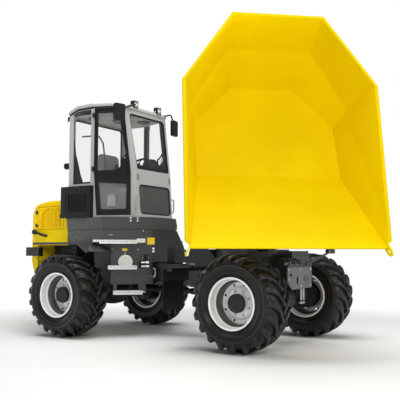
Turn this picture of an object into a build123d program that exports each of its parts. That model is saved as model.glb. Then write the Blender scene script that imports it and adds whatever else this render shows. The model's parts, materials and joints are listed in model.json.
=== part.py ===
from build123d import *
import math
import os

# Articulated site dumper with a closed cab and a swivel-tip skip.
# Working frame, in millimetres: +X forward, +Y left, +Z up, ground at Z = 0 and the
# articulation pin on the Z axis, midway between the two axles.  The finished solids
# are moved by FLOOR_MIDDLE, so that the origin lies under the machine's middle.
# The rear chassis carries the engine and the cab.  The front chassis carries a
# slewing ring, a swivel console on it, and the skip, which tips about the
# console's front pin.  The skip stands swivelled to the right and fully tipped.

# ---------------------------------------------------------------- driving sizes
WHEELBASE = 2710
TRACK = 1940
TYRE_RADIUS = 565
TYRE_WIDTH = 500
RIM_RADIUS = 298
RIM_WIDTH = 446
HUB_RADIUS = 108
SPINDLE_RADIUS = 62

FIT = 0.3            # running clearance at a pin, and a seat between two bodies
DOOR_GAP = 6         # shut line round a door leaf
FLOOR_MIDDLE = (195, -430)     # middle of the floor area the machine stands over

# skip, in its own frame: S forward from the lip, H up from the lip, floor level
SWIVEL_NOW = -48.4    # skip heading as it stands, degrees from straight ahead
TIP_NOW = 70.4        # skip tip as it stands, degrees from lowered
SKIP_WALL = 8
SKIP_WIDTH = 2210
LIP_WIDTH = 2030
SKIP_LENGTH = 2625
SKIP_BACK_RISE = 472
SKIP_SHOULDER_S = -1812
SKIP_SHOULDER_H = 326
SKIP_BACK_WIDTH = 1055
FLOOR_DEPTH = 565

# swivel and tip mechanism, in the front chassis
SWIVEL_X = 980
RING_BOTTOM = 1070
RING_TOP = 1150
RING_OUTER = 470
RING_INNER = 350
TIP_PIN_R = 1040     # tip pin ahead of the swivel axis
TIP_PIN_Z = 1300
TIP_PIN_BEHIND_LIP = 360
TIP_PIN_UNDER_FLOOR = 110
PIN_RADIUS = 30

# rear chassis and cab
BODY_REAR_X = -2550
HOOD_HALF = 520
BODY_S = (-1860, 520)
BODY_T = (-950, 740)
BODY_N = (-400, 250)
BODY_BOTTOM = 700
BODY_REAR = -1800    # rear face of the body above the mudguards
TANK_REAR = -860     # and of the part in front of them
NOSE = ((-401, 250), (-242, 200))      # wedge ahead of the body: x and half width
NOSE_Z = (1010, 1215, 1445)
FENDER_TOP = 1270
SEAM_Z = 1445
DECK_Z = 1625
SEAM_REVEAL = 14
CAB_C = (-1715, 620)
CAB_B = (-1260, 630)
CAB_A = (-580, 387)
CAB_WALL = 45
CAB_LID = 12         # plate over the cab, under its roof
BELT_Z = 2290
ROOF_TOP = 3300      # above everything of the cab
CAB_FRONT = ((-580, 1600), (-642, BELT_Z), (-797, 3255))     # leaning front, from its foot up
CAB_EAVES = ((-1730, 3134), (-1540, 3205), (-1000, 3205), (-730, 3156))
ROOF_LINE = ((-1740, 3184), (-1560, 3258), (-1000, 3262), (-730, 3204))
ROOF_BROW = 12       # roof beyond the cab's walls
ROOF_FRONT = (-757, -777)      # front edge of the roof, at its foot and at its top
GLASS = 6
GLASS_SET = 12       # glass face behind the cab's outer face
DOOR_HOLE = (        # along the slanted side from the hinge post, and height
    (76, 1655), (588, 1655), (584, 2260), (476, 3145), (300, 3182), (31, 3182), (31, BELT_Z),
)
DOOR_PANES = (
    ((76, 2290), (375, 2290), (429, 2340), (436, 2447), (510, 2520), (470, 2700), (418, 2990),
     (400, 3130), (76, 3134)),
    ((130, 1725), (531, 1730), (534, 2100), (92, 2133)),
)
DOOR_PULL = (495, 525, 2205, 2365)      # pull handle: along from and to, heights
SIDE_WINDOW = ((-1632, 2110), (-1285, 2110), (-1285, 3170), (-1540, 3170), (-1632, 3135))
REAR_WINDOW = (550, 2095, 3090)         # half width, heights
SCREEN_HALF = (372, 413)                # half width of the windscreen, at its foot and its top
SCREEN_Z = (2302, 3105)
NOSE_WINDOW = (362, 1667, 2088)         # half width, heights
SIDE_LENGTH = math.hypot(CAB_A[0] - CAB_B[0], CAB_A[1] - CAB_B[1])
DOOR_HINGES = (2275, 3045)     # heights of the cab door's hinges
HINGE_OUT = 14       # door hinge axis outside the cab side
HINGE_ALONG = 12     # and along it from the hinge post
HINGE_TAB = 72       # end of the hinge tab along the leaf
GRAB_BACK = 50       # grab handle behind the cab's front corner
GRAB_Z = (1725, 1915)
GRAB_OUT = 55
MIRROR_SIZE = (170, 46, 235)   # width, depth and height of a mirror head
MIRRORS = (          # middle of the head, and its turn about Z
    ((-630, -790, 3030), -12),
    ((-650, 520, 3010), 12),
)
MIRROR_ROOT = (-800, 430, 3195)
LAMP_AT = (-790, 275, 3245)    # middle of a work lamp, on the left side
LAMP_SIZE = (62, 96, 108)
HOOD_TOP = 1905
HOOD_FRONT = -1812             # at the seam; the front edge rakes back from there
HOOD_RAKE = (38, 68)           # at the height of the deck, and at the top
RAKE_Z = 1640
HOOD_SKIN = 30
SERVICE_DOOR = (-2430, -1925, 1475, 1815)   # x0, x1, z0, z1 of the side door opening
LOUVRE = ((-2360, 1505), (-1950, 1505), (-1962, 1786), (-2262, 1786), (-2360, 1705))
TAIL_FRONT = -2430             # front of the counterweight below its skirts
SKIRT_FRONT = -1806
SKIRT_BOTTOM = 1240
TAIL_INSIDE = -2400
INTAKE = ((-1860, 522), (-1860, 600), (-1800, 690), (-1232, 690), (-1232, 522))
INTAKE_TOP = 2075
STEPS = (            # along the slanted side from and to, heights, depth outward
    (-125, -40, 1274, 1302, 150),
    (-41, 470, 1254, 1302, 150),
    (469, 585, 1270, 1325, 60),
    (81, 470, 907, 955, 150),
    (155, 549, 570, 618, 150),
)
STEP_PLATES = ((155, 205), (500, 600))      # plates that hang the lowest tread

# chassis, engine and axles
BEAM_INNER = 210     # inner and outer faces of the rear beams from the middle
FRAME_HALF = 290
BEAM_TOP = 1000
SIDE_OUT = 340       # outer face of the front chassis plates
FRAME_PLATE = 40
EAR_LOW = (690, 740)           # heights of the two ears round the articulation pin
EAR_HIGH = (930, 980)
EAR_HALF = 120
PIVOT_RADIUS = 40
ENGINE_REAR = -2330
ENGINE_FRONT = -1870
GEARBOX_FRONT = -1640
ENGINE_TOP = 1520
AXLE_RADIUS = 95
FRAME_NOSE = 300     # front cross member ahead of the front axle
BEAM_ARCH = 205      # half length of the rear beams' level part over the axle
GUARD_SPAN = (690, 1240)       # front mudguard, inner and outer edge
FLAP_SPAN = (800, 1225)
TOW_PLATE = ((-400, 960), (290, 960), (290, 700), (-265, 690), (-400, 790))

# cylinders: base pin and rod eye of a steering cylinder on the left side
STEER_BASE = (-395, 150)
STEER_EYE = (120, 230)
STEER_EYE_HALF = 20
STEER_Z = 835
STEER_PIN = 16
STEER_LOCK = 33      # degrees either way
TIP_BASE_R = -210    # base pin of the tip cylinder, behind the swivel axis
TIP_BASE_Z = 1020
EYE_R = -300         # its rod eye behind the tip pin, skip lowered
EYE_Z = 50           # and above it
EYE_EARS = (46, 66)  # inner and outer faces of the ears beside the rod eye
CHEEK = (150, 180)   # of a console side plate
LUG = (194, 218)     # of a skip lug

# skip fittings
RIM_BAR = 42
LASHING_AT = (30, -30)         # lashing eye ahead of and below the lip
LASHING_Y = 1080
LASHING_SPLAY = (0.916, 0.401) # its plate runs forward and outward
LASHING_EYE = 53
LASHING_BORE = 26
LASHING_PLATE = 18

REAR_X = -WHEELBASE / 2
FRONT_X = WHEELBASE / 2
WHEEL_Y = TRACK / 2
FRAME_FRONT = FRONT_X + FRAME_NOSE
SIDES = (("right", -1), ("left", 1))

NODES = {}


# ---------------------------------------------------------------- small helpers
def box(x0, x1, y0, y1, z0, z1):
    """A box between two corners."""
    size = (abs(x1 - x0), abs(y1 - y0), abs(z1 - z0))
    middle = ((x0 + x1) / 2, (y0 + y1) / 2, (z0 + z1) / 2)
    return Pos(*middle) * Box(*size)


def outline(points, radius=0):
    """A closed face through the points, with its corners rounded."""
    face = make_face(Polyline(*points, close=True))
    if radius:
        face = fillet(face.vertices(), radius)
    return face


def slab(plane, points, start, end, radius=0):
    """The outline drawn in a plane, thick from start to end along its normal."""
    base = plane.offset(start)
    return extrude(base * outline(points, radius), amount=end - start, dir=base.z_dir)


def plan(points, z0, z1, radius=0):
    """An outline in plan, from z0 up to z1."""
    return slab(Plane.XY, points, z0, z1, radius)


def profile(points, y0, y1, radius=0):
    """An outline in side view (X, Z), from y0 to y1."""
    side = Plane(origin=(0, 0, 0), x_dir=(1, 0, 0), z_dir=(0, -1, 0))
    return slab(side, points, -y0, -y1, radius)


def section(points, x0, x1, radius=0):
    """An outline in front view (Y, Z), from x0 to x1."""
    front = Plane(origin=(0, 0, 0), x_dir=(0, 1, 0), z_dir=(1, 0, 0))
    return slab(front, points, x0, x1, radius)


def rod(start, end, radius, bore=0):
    """A round bar or tube from one point to another."""
    a = Vector(*start)
    b = Vector(*end)
    base = Plane(origin=a, z_dir=b - a)
    bar = extrude(base * Circle(radius), amount=(b - a).length, dir=base.z_dir)
    if bore:
        hole = extrude(base * Circle(bore), amount=(b - a).length, dir=base.z_dir)
        bar = bar - hole
    return bar


def across(x, z, radius, y0, y1, bore=0):
    """A round bar along Y."""
    return rod((x, y0, z), (x, y1, z), radius, bore)


def bent_tube(points, bend, radius):
    """A tube along straight runs joined by arcs."""
    path = FilletPolyline(*points, radius=bend)
    start = Plane(origin=path @ 0, z_dir=path % 0)
    return sweep(start * Circle(radius), path=path)


def other_side(shape):
    """The shape mirrored to the machine's other side."""
    return mirror(shape, about=Plane.XZ)


def both(shape):
    """The shape and its mirror image."""
    return [shape, other_side(shape)]


def mirrored_plan(points):
    """A plan outline through points given on the left side, rear to front."""
    left = [(x, y) for x, y in points]
    right = [(x, -y) for x, y in reversed(points)]
    return left + right


def node(name, *shapes):
    """Store a node's solids under its name."""
    solids = []
    for shape in shapes:
        items = shape if isinstance(shape, (list, tuple)) else [shape]
        for item in items:
            solids.extend(item.solids())
    NODES[name] = solids


# ---------------------------------------------------------------- wheels
def wheel_rim():
    """Rim, disc and hub about +Y, centre at the origin, outer side at -Y."""
    half = RIM_WIDTH / 2
    seat = RIM_RADIUS - 14
    well = RIM_RADIUS - 52
    shell = 8
    barrel = [
        (RIM_RADIUS, half), (RIM_RADIUS, half - 10), (seat, half - 14), (seat, half - 60),
        (well, half - 100), (well, -half + 150), (seat, -half + 95), (seat, -half + 14),
        (RIM_RADIUS, -half + 10), (RIM_RADIUS, -half), (seat - shell, -half + 4),
        (seat - shell, -half + 92), (well - shell, -half + 146), (well - shell, half - 104),
        (seat - shell, half - 64), (seat - shell, half - 4),
    ]
    disc = [
        (HUB_RADIUS, -70), (HUB_RADIUS - 12, -78), (0, -78), (0, 30), (118, 30), (118, -12),
        (160, -12), (190, 10), (well - shell, 10), (well - shell, -4), (194, -4), (168, -26),
        (HUB_RADIUS, -30),
    ]
    shape = revolve(outline(barrel), Axis.Y) + revolve(outline(disc), Axis.Y)
    for index in range(8):
        turn = math.radians(22.5 + 45 * index)
        centre = (214 * math.cos(turn), 214 * math.sin(turn))
        hand_hole = across(centre[0], centre[1], 15, -40, 40)
        shape = shape - hand_hole
    socket = across(0, 0, SPINDLE_RADIUS + FIT, -20, 40)
    return shape - socket


def tyre():
    """Tyre about +Y: a deep carcass with rounded shoulders, bead to bead."""
    half = TYRE_WIDTH / 2
    bead = RIM_RADIUS - 14 + FIT
    lip = RIM_WIDTH / 2 - 14 - FIT
    points = [
        (bead, -lip), (RIM_RADIUS + 14, -lip), (RIM_RADIUS + 60, -half + 8), (430, -half),
        (500, -half + 10), (TYRE_RADIUS - 20, -half + 48), (TYRE_RADIUS, -half + 120),
        (TYRE_RADIUS, half - 120), (TYRE_RADIUS - 20, half - 48), (500, half - 10), (430, half),
        (RIM_RADIUS + 60, half - 8), (RIM_RADIUS + 14, lip), (bead, lip), (bead, lip - 30),
        (bead + 22, lip - 46), (bead + 22, -lip + 46), (bead, -lip + 30),
    ]
    return revolve(outline(points), Axis.Y)


def wheels():
    rim = wheel_rim()
    rubber = tyre()
    for end, x in (("front", FRONT_X), ("rear", REAR_X)):
        for side, sign in SIDES:
            place = Pos(x, sign * WHEEL_Y, TYRE_RADIUS)
            face = rim if sign < 0 else mirror(rim, about=Plane.XZ)
            node(f"rim_{end}_{side}", place * face)
            node(f"tyre_{end}_{side}", place * rubber)


# ---------------------------------------------------------------- axles
def axle(x, pad_in, pad_out):
    """Drive axle: differential, tapered housing, hub reductions, spindles and spring pads."""
    reach = WHEEL_Y - 45
    diff = [
        (0, -210), (120, -200), (175, -120), (185, 0), (175, 120), (120, 200), (0, 210),
    ]
    body = Pos(x, 0, TYRE_RADIUS) * revolve(Plane.XY * outline(diff), Axis.Y)
    body = body + across(x, TYRE_RADIUS, AXLE_RADIUS, -reach + 130, reach - 130)
    for sign in (-1, 1):
        drum_in = sign * (reach - 220)
        drum_out = sign * reach
        body = body + across(x, TYRE_RADIUS, 165, drum_in, drum_out)
        body = body + across(x, TYRE_RADIUS, SPINDLE_RADIUS, drum_out, sign * (WHEEL_Y + 12))
        body = body + box(x - 110, x + 110, sign * pad_in, sign * pad_out, TYRE_RADIUS, BODY_BOTTOM)
    return body


# ---------------------------------------------------------------- rear chassis
def rear_frame():
    """Two beams with cross plates, and the pair of ears that hold the articulation pin."""
    beams = [
        profile([(-2400, 740), (-2400, BEAM_TOP), (-420, BEAM_TOP), (-420, BODY_BOTTOM + 20),
                 (REAR_X + BEAM_ARCH, BODY_BOTTOM), (REAR_X - BEAM_ARCH, BODY_BOTTOM)],
                sign * BEAM_INNER, sign * FRAME_HALF)
        for sign in (-1, 1)
    ]
    frame = beams[0] + beams[1]
    for x0, x1 in ((-2400, -2360), (-1600, -1540), (-1160, -1100), (-490, -445)):
        frame = frame + box(x0, x1, -BEAM_INNER - 2, BEAM_INNER + 2, EAR_LOW[1], BEAM_TOP)
    for z0, z1 in (EAR_LOW, EAR_HIGH):
        root = BEAM_INNER + 2
        ear = plan([(-450, -root), (-450, root), (-60, EAR_HALF), (-60, -EAR_HALF)], z0, z1)
        tip = rod((0, 0, z0), (0, 0, z1), EAR_HALF)
        bridge = box(-70, 0, -EAR_HALF, EAR_HALF, z0, z1)
        frame = frame + ear + bridge + tip
    frame = frame - rod((0, 0, EAR_LOW[0] - 1), (0, 0, EAR_HIGH[1] + 1), PIVOT_RADIUS + 0.1)
    for sign in (-1, 1):
        x, y = STEER_BASE
        frame = frame + rod((x, sign * y, EAR_LOW[1] - 1), (x, sign * y, EAR_HIGH[0] + 1), STEER_PIN)
    return frame


def articulation_pin():
    """Kingpin with a flanged head above the upper ear and a foot below the lower one."""
    pin = rod((0, 0, EAR_LOW[0] - 20), (0, 0, EAR_HIGH[1] + 20), PIVOT_RADIUS)
    cap = rod((0, 0, EAR_HIGH[1]), (0, 0, EAR_HIGH[1] + 25), 62)
    foot = rod((0, 0, EAR_LOW[0] - 25), (0, 0, EAR_LOW[0]), 62)
    return pin + cap + foot


def engine():
    """Engine and gearbox as one block on the chassis beams."""
    low = box(ENGINE_REAR, GEARBOX_FRONT, -BEAM_INNER + 5, BEAM_INNER - 5, 790, BEAM_TOP + 1)
    high = box(ENGINE_REAR, ENGINE_FRONT, -270, 270, BEAM_TOP, ENGINE_TOP)
    return low + high


def tail():
    """Counterweight and lower hood: a U in plan, open at the front and on top."""
    outer = profile([(BODY_REAR_X, 1000), (BODY_REAR_X + 70, 760), (TAIL_FRONT, 760),
                     (TAIL_FRONT, SKIRT_BOTTOM), (SKIRT_FRONT, SKIRT_BOTTOM), (SKIRT_FRONT, SEAM_Z),
                     (BODY_REAR_X, SEAM_Z)], -HOOD_HALF, HOOD_HALF)
    inner = box(TAIL_INSIDE, 0, -HOOD_HALF + 45, HOOD_HALF - 45, 700, 1600)
    root = box(TAIL_FRONT - 1, TAIL_INSIDE, -FRAME_HALF, FRAME_HALF, 760, BEAM_TOP)
    return outer - inner + root


def hood_outline(inset=0):
    """Hood in side view: a round shoulder at the rear and a raked front edge."""
    top = HOOD_TOP - inset
    rear = BODY_REAR_X + inset
    points = [(rear, SEAM_Z), (rear, 1760), (rear + 55, 1850), (rear + 150, top - 30),
              (rear + 330, top), (HOOD_FRONT - HOOD_RAKE[1] - inset, top),
              (HOOD_FRONT - HOOD_RAKE[0] - inset, RAKE_Z), (HOOD_FRONT - inset, SEAM_Z)]
    return points


def hood():
    """Fixed engine hood, hollow, with an opening in each side for its door."""
    outer = profile(hood_outline(), -HOOD_HALF, HOOD_HALF)
    top_edges = [e for e in outer.edges() if abs(abs(e.center().Y) - HOOD_HALF) < 1
                 and e.center().Z > 1800]
    outer = fillet(top_edges, 38)
    inner = profile(hood_outline(HOOD_SKIN), -HOOD_HALF + HOOD_SKIN, HOOD_HALF - HOOD_SKIN)
    shell = outer - inner
    x0, x1, z0, z1 = SERVICE_DOOR
    for sign in (-1, 1):
        opening = profile([(x0, z0), (x1 + 25, z0), (x1, z1), (x0, z1)],
                          sign * (HOOD_HALF - 60), sign * (HOOD_HALF + 10))
        shell = shell - opening
    return shell


def service_door(sign):
    """Louvred side door of the hood, hinged at its rear edge."""
    x0, x1, z0, z1 = SERVICE_DOOR
    gap = DOOR_GAP
    leaf = profile([(x0 + gap, z0 + gap), (x1 + 25 - gap, z0 + gap), (x1 - gap, z1 - gap),
                    (x0 + gap, z1 - gap)], sign * (HOOD_HALF - 24), sign * HOOD_HALF)
    floor = HOOD_HALF - 14
    leaf = leaf - profile(LOUVRE, sign * floor, sign * (HOOD_HALF + 2), radius=22)
    zone = profile(LOUVRE, sign * (floor - 1), sign * (HOOD_HALF + 2), radius=22)
    pitch = (LOUVRE[1][0] - LOUVRE[0][0]) / 5
    for index in range(5):
        x = LOUVRE[0][0] + pitch * (index + 0.15)
        rib = plan([(x, sign * (floor - 1)), (x + pitch * 0.2, sign * (HOOD_HALF - 3)),
                    (x + pitch * 0.6, sign * (floor - 1))], z0, z1)
        leaf = leaf + (rib & zone)
    for z in (z0 + 70, z1 - 80):
        leaf = leaf + rod((x0 + gap, sign * (HOOD_HALF + 7), z), (x0 + gap, sign * (HOOD_HALF + 7), z + 50), 9)
    return leaf


def fender(sign):
    """Rear mudguard: a flat top folding down ahead of and behind the tyre."""
    inner = sign * 600
    outer = sign * 1150
    top = [(-1850, FENDER_TOP), (-1010, FENDER_TOP), (-830, 1150), (-836, 1140),
           (-1014, FENDER_TOP - 10), (-1850, FENDER_TOP - 10)]
    plate = profile(top, inner, outer)
    edge = profile([(-1850, FENDER_TOP), (-1010, FENDER_TOP), (-830, 1150), (-850, 1122),
                    (-1024, 1238), (-1850, 1238)], outer, outer + sign * 10)
    under = plan(body_plan(25), BODY_BOTTOM, SEAM_Z)
    front = plan(body_plan(), BODY_BOTTOM, FENDER_TOP) & box(TANK_REAR, 0, -900, 900, 600, 1500)
    return (plate + edge) - under - front


def body_plan(inset=0):
    """Plan of the body: wide beside the cab, tapering to the nose and the hood."""
    rear = (BODY_S[0], BODY_S[1] - inset)
    return mirrored_plan([rear, (BODY_T[0] - inset * 0.3, BODY_T[1] - inset),
                          (BODY_N[0] - inset, BODY_N[1] - inset * 0.6)])


def lower_body(sign):
    """Tank and cladding on one side: over the mudguard, and down in front of it."""
    upper = plan(body_plan(), FENDER_TOP, SEAM_Z)
    lower = plan(body_plan(), BODY_BOTTOM, FENDER_TOP)
    lower = lower & box(TANK_REAR, 0, 0, sign * 900, BODY_BOTTOM, FENDER_TOP)
    return (upper + lower) & box(BODY_REAR, 0, sign * (FRAME_HALF + 0.01), sign * 900, 600, 1500)


def crossmember():
    """Open tub that closes the body between the two tanks, on top of the beams."""
    block = plan(body_plan(), BEAM_TOP, SEAM_Z)
    middle = box(-1500, 0, -FRAME_HALF, FRAME_HALF, BEAM_TOP, SEAM_Z)
    hollow = box(-1440, -460, -FRAME_HALF + 20, FRAME_HALF - 20, BEAM_TOP + 30, SEAM_Z + 1)
    (back, wide), (tip, narrow) = NOSE
    foot, shoulder, top = NOSE_Z
    nose = profile([(back, foot), (tip, foot), (tip, shoulder), (back, top)], -wide, wide)
    nose = nose & plan([(back, -wide), (back, wide), (tip, narrow), (tip, -narrow)], foot, top)
    return (block & middle) - hollow + nose


def cab_deck():
    """Deck under the cab: a recessed joint, then the band that shows."""
    rear = HOOD_FRONT + 6
    rear_cut = profile([(-3000, 1400), (rear, 1400), (rear, SEAM_Z), (rear - HOOD_RAKE[0], RAKE_Z),
                        (-3000, RAKE_Z)], -900, 900)
    front_cut = profile([(-467, DECK_Z + 11), (-400, 1530), (0, 1530), (0, DECK_Z + 11)], -900, 900)
    joint = plan(body_plan(SEAM_REVEAL), SEAM_Z, SEAM_Z + 12)
    band = plan(body_plan(), SEAM_Z + 12, DECK_Z)
    return (joint + band) - rear_cut - front_cut


def side_plane(a, b, sign):
    """Upright plane through two plan points, X from a to b and Z outward."""
    dx = b[0] - a[0]
    dy = (b[1] - a[1]) * sign
    length = math.hypot(dx, dy)
    along = (dx / length, dy / length, 0)
    outward = (-along[1] * sign, along[0] * sign, 0)
    base = Plane(origin=(a[0], a[1] * sign, 0), x_dir=along, z_dir=outward)
    return base, length


def face_slab(a, b, sign, points, start, end, radius=0):
    """A slab on a slanted side: points are (along, height), depth is outward.

    On the left side the plane's local Y points down, so heights are flipped."""
    base, length = side_plane(a, b, sign)
    up = base.y_dir.Z
    flipped = [(u, z * up) for u, z in points]
    return slab(base, flipped, start, end, radius)


def rect(u0, u1, z0, z1):
    return [(u0, z0), (u1, z0), (u1, z1), (u0, z1)]


def steps(sign):
    """Treads against the slanted side of the body, the lowest hung on two plates."""
    unit = None
    for u0, u1, z0, z1, depth in STEPS:
        tread = face_slab(BODY_T, BODY_N, sign, rect(u0, u1, z0, z1), FIT, depth)
        if z1 - z0 < 50 and u1 - u0 > 200:
            tread = tread - face_slab(BODY_T, BODY_N, sign, rect(u0 + 6, u1 - 6, z0 - 1, z1 - 6), 12,
                                      depth - 8)
        unit = tread if unit is None else unit + tread
    for u0, u1 in STEP_PLATES:
        unit = unit + face_slab(BODY_T, BODY_N, sign, rect(u0, u1, 590, 770), FIT, 10)
    return unit


# ---------------------------------------------------------------- cab
def cab_plan(inset=0):
    """Plan of the cab, widest at the door hinges, inset by a wall."""
    full = mirrored_plan([CAB_C, CAB_B, CAB_A])
    if not inset:
        return full
    face = offset(outline(full), amount=-inset, kind=Kind.INTERSECTION)
    return face


def cab_prism(inset, z0, drop):
    """The cab's outer form, or that form with its walls set in and its top dropped."""
    face = outline(cab_plan()) if not inset else cab_plan(inset)
    solid = extrude(Plane.XY.offset(z0) * face, amount=ROOF_TOP - z0, dir=(0, 0, 1))
    front = [(x - inset, z) for x, z in CAB_FRONT]
    ahead = front + [(0, front[-1][1]), (0, front[0][1])]
    eaves = [(x, z - drop) for x, z in CAB_EAVES]
    above = [(-3000, eaves[0][1])] + eaves + [(0, eaves[-1][1]), (0, 4000), (-3000, 4000)]
    return solid - profile(ahead, -1000, 1000) - profile(above, -1000, 1000)


def shrink(points, gap):
    """A convex or nearly convex outline moved in by a gap."""
    return offset(outline(points), amount=-gap, kind=Kind.INTERSECTION)


def on_side(sign, face, start, end):
    """A face drawn in (along, height) for the slanted cab side, made thick."""
    base, length = side_plane(CAB_B, CAB_A, sign)
    if base.y_dir.Z < 0:
        face = mirror(face, about=Plane.XZ)
    level = base.offset(start)
    return extrude(level * face, amount=end - start, dir=base.z_dir)


def openings():
    """Tools that cut the cab's doors and windows."""
    tools = {}
    for side, sign in SIDES:
        tools[f"door_{side}"] = on_side(sign, outline(DOOR_HOLE), -CAB_WALL - 30, 60)
        tools[f"window_{side}"] = profile(SIDE_WINDOW, sign * 500, sign * 760, radius=15)
    low, high = SCREEN_HALF
    foot, top = SCREEN_Z
    screen = outline([(-low, foot), (low, foot), (high, top), (-high, top)])
    screen = fillet([v for v in screen.vertices() if v.Y > foot + 10], 60)
    screen = fillet([v for v in screen.vertices() if v.Y < foot + 10], 14)
    front = Plane(origin=(-900, 0, 0), x_dir=(0, 1, 0), z_dir=(1, 0, 0))
    tools["windscreen"] = extrude(front * screen, amount=400, dir=(1, 0, 0))
    half, low, high = REAR_WINDOW
    rear = [(-half, low), (half, low), (half, high), (-half, high)]
    tools["rear"] = section(rear, CAB_C[0] - 60, CAB_C[0] + 90, radius=40)
    half, low, high = NOSE_WINDOW
    nose = [(-half, low), (half, low), (half, high), (-half, high)]
    tools["nose"] = section(nose, -720, -520, radius=60)
    return tools


def cab_parts():
    """Cab frame, its fixed glass, and the roof."""
    frame = cab_prism(0, DECK_Z, 0) - cab_prism(CAB_WALL, DECK_Z + CAB_LID, CAB_LID)
    tools = openings()
    for tool in tools.values():
        frame = frame - tool
    skin = cab_prism(GLASS_SET, DECK_Z + CAB_LID + 1, CAB_LID + 1)
    skin = skin - cab_prism(GLASS_SET + GLASS, DECK_Z + CAB_LID, CAB_LID)
    panes = [skin & tools[name] for name in ("window_right", "window_left", "windscreen", "rear")]
    toe = skin & tools["nose"]
    for side, sign in SIDES:
        for z in DOOR_HINGES:
            frame = frame + hinge_seat(sign, z)
    node("cab_frame", frame)
    node("cab_glass", *panes)
    node("nose_window", toe)
    roof = cab_roof()
    node("cab_roof", roof)
    roof_fittings(roof)


def cab_roof():
    """Thin roof lid that follows the eaves, with a brow all round and a bevelled rim."""
    brow = offset(outline(cab_plan()), amount=ROOF_BROW, kind=Kind.INTERSECTION)
    block = extrude(Plane.XY.offset(3000) * brow, amount=ROOF_TOP - 3000, dir=(0, 0, 1))
    band = [(x, z + FIT) for x, z in CAB_EAVES] + list(reversed(ROOF_LINE))
    foot, top = ROOF_FRONT
    ahead = profile([(foot, 3130), (top, 3270), (0, 3270), (0, 3130)], -900, 900)
    roof = (block & profile(band, -900, 900)) - ahead
    lids = [face for face in roof.faces() if face.normal_at().Z > 0.8]
    rims = [edge for lid in lids for edge in lid.edges()
            if abs(edge.center().Y) > 1 or not -1700 < edge.center().X < -800]
    return chamfer(rims, 18)


def hinge_seat(sign, z):
    """Fixed half of a door hinge: a block on the hinge post, under the door's knuckle."""
    x, y = hinge_point(sign)
    block = face_slab(CAB_B, CAB_A, sign, rect(HINGE_ALONG - 11, HINGE_ALONG + 11, z - 30, z - FIT),
                      -1, HINGE_OUT)
    return block + rod((x, y, z - 30), (x, y, z - FIT), 11)


def cab_door(sign):
    """Door leaf with its two panes, on the slanted side."""
    leaf = on_side(sign, shrink(DOOR_HOLE, DOOR_GAP), -38, 0)
    panes = []
    for points in DOOR_PANES:
        hole = outline(points, 18)
        leaf = leaf - on_side(sign, hole, -60, 20)
        panes.append(on_side(sign, hole, -GLASS_SET - GLASS, -GLASS_SET))
    leaf = leaf + face_slab(CAB_B, CAB_A, sign, rect(*DOOR_PULL), 0, 26)
    for z in DOOR_HINGES:
        x, y = hinge_point(sign)
        knuckle = rod((x, y, z), (x, y, z + 70), 11)
        tab = face_slab(CAB_B, CAB_A, sign, rect(HINGE_ALONG, HINGE_TAB, z + 5, z + 65), FIT, 10)
        pad = face_slab(CAB_B, CAB_A, sign, rect(44, HINGE_TAB - 2, z + 7, z + 63), -1, 5)
        leaf = leaf + knuckle + tab + pad
    return leaf, panes


def hinge_point(sign):
    """Plan position of a cab door's hinge axis."""
    base, length = side_plane(CAB_B, CAB_A, sign)
    point = base.origin + base.x_dir * HINGE_ALONG + base.z_dir * HINGE_OUT
    return (point.X, point.Y)


def filter_box(sign):
    """Black intake box with a grille, below the rear side window."""
    z0 = DECK_Z + FIT
    z1 = INTAKE_TOP
    rear = INTAKE[0][0] - 1
    shape = plan([(x, sign * y) for x, y in INTAKE], z0, z1)
    shape = shape - cab_prism(0, DECK_Z - 10, 0)
    chop = profile([(rear, z0 - 1), (rear, z1 - 180), (rear + 70, z0 - 1)], sign * 400, sign * 800)
    cap = profile([(rear, z1 - 60), (rear, z1 + 1), (rear + 60, z1 + 1)], sign * 400, sign * 800)
    return shape - chop - cap


def seat():
    """Seat pedestal, cushion and backrest."""
    base = box(-1500, -1120, -210, 210, DECK_Z + 12, 1960)
    cushion = profile([(-1530, 1960), (-1530, 2050), (-1090, 2085), (-1060, 2060), (-1070, 1960)],
                      -245, 245)
    back = profile([(-1532, 2040), (-1590, 2500), (-1570, 2620), (-1500, 2640), (-1455, 2600),
                    (-1400, 2075), (-1420, 2040)], -235, 235)
    under = profile([(-1600, 1950), (-1600, 2050 + FIT), (-1530, 2050 + FIT), (-1050, 2088 + FIT),
                     (-1050, 1950)], -250, 250)
    back = back - under
    node("seat_base", base)
    node("seat_cushions", cushion, back)


def console():
    """Dash and steering column with the wheel at the driver's end."""
    z0 = DECK_Z + 12
    dash = profile([(-640, z0), (-701, 2330), (-740, 2380), (-850, 2330), (-800, 2050), (-760, z0)],
                   -200, 200)
    foot = Vector(-815, 0, 2200)
    head = Vector(-935, 0, 2392)
    column = rod(tuple(foot), tuple(head), 32)
    node("control_console", dash + column)
    plane = Plane(origin=head, z_dir=head - foot)
    ring = plane * Torus(185, 15)
    hub = extrude(plane * Circle(48), amount=30, dir=plane.z_dir)
    spokes = None
    for turn in (90, 210, 330):
        a = math.radians(turn)
        tip = plane.from_local_coords(Vector(184 * math.cos(a), 184 * math.sin(a), 0))
        start = plane.from_local_coords(Vector(20 * math.cos(a), 20 * math.sin(a), 12))
        spoke = rod(tuple(start), tuple(tip), 9)
        hub = hub + spoke
    node("steering_wheel", ring + hub)


def mirror_unit(at, yaw, root):
    """Mirror head about its middle, turned by yaw, on a bent arm from the roof corner."""
    x, y, z = at
    half = MIRROR_SIZE[0] / 2
    head = Pos(x, y, z) * Rot(0, 0, yaw) * fillet(
        Box(MIRROR_SIZE[1], MIRROR_SIZE[0], MIRROR_SIZE[2]).edges().filter_by(Axis.X), half * 0.3)
    arm = bent_tube([root, (x, root[1], root[2] + 10), (x, y, z + 40)], 30, 11)
    return head + arm


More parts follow.
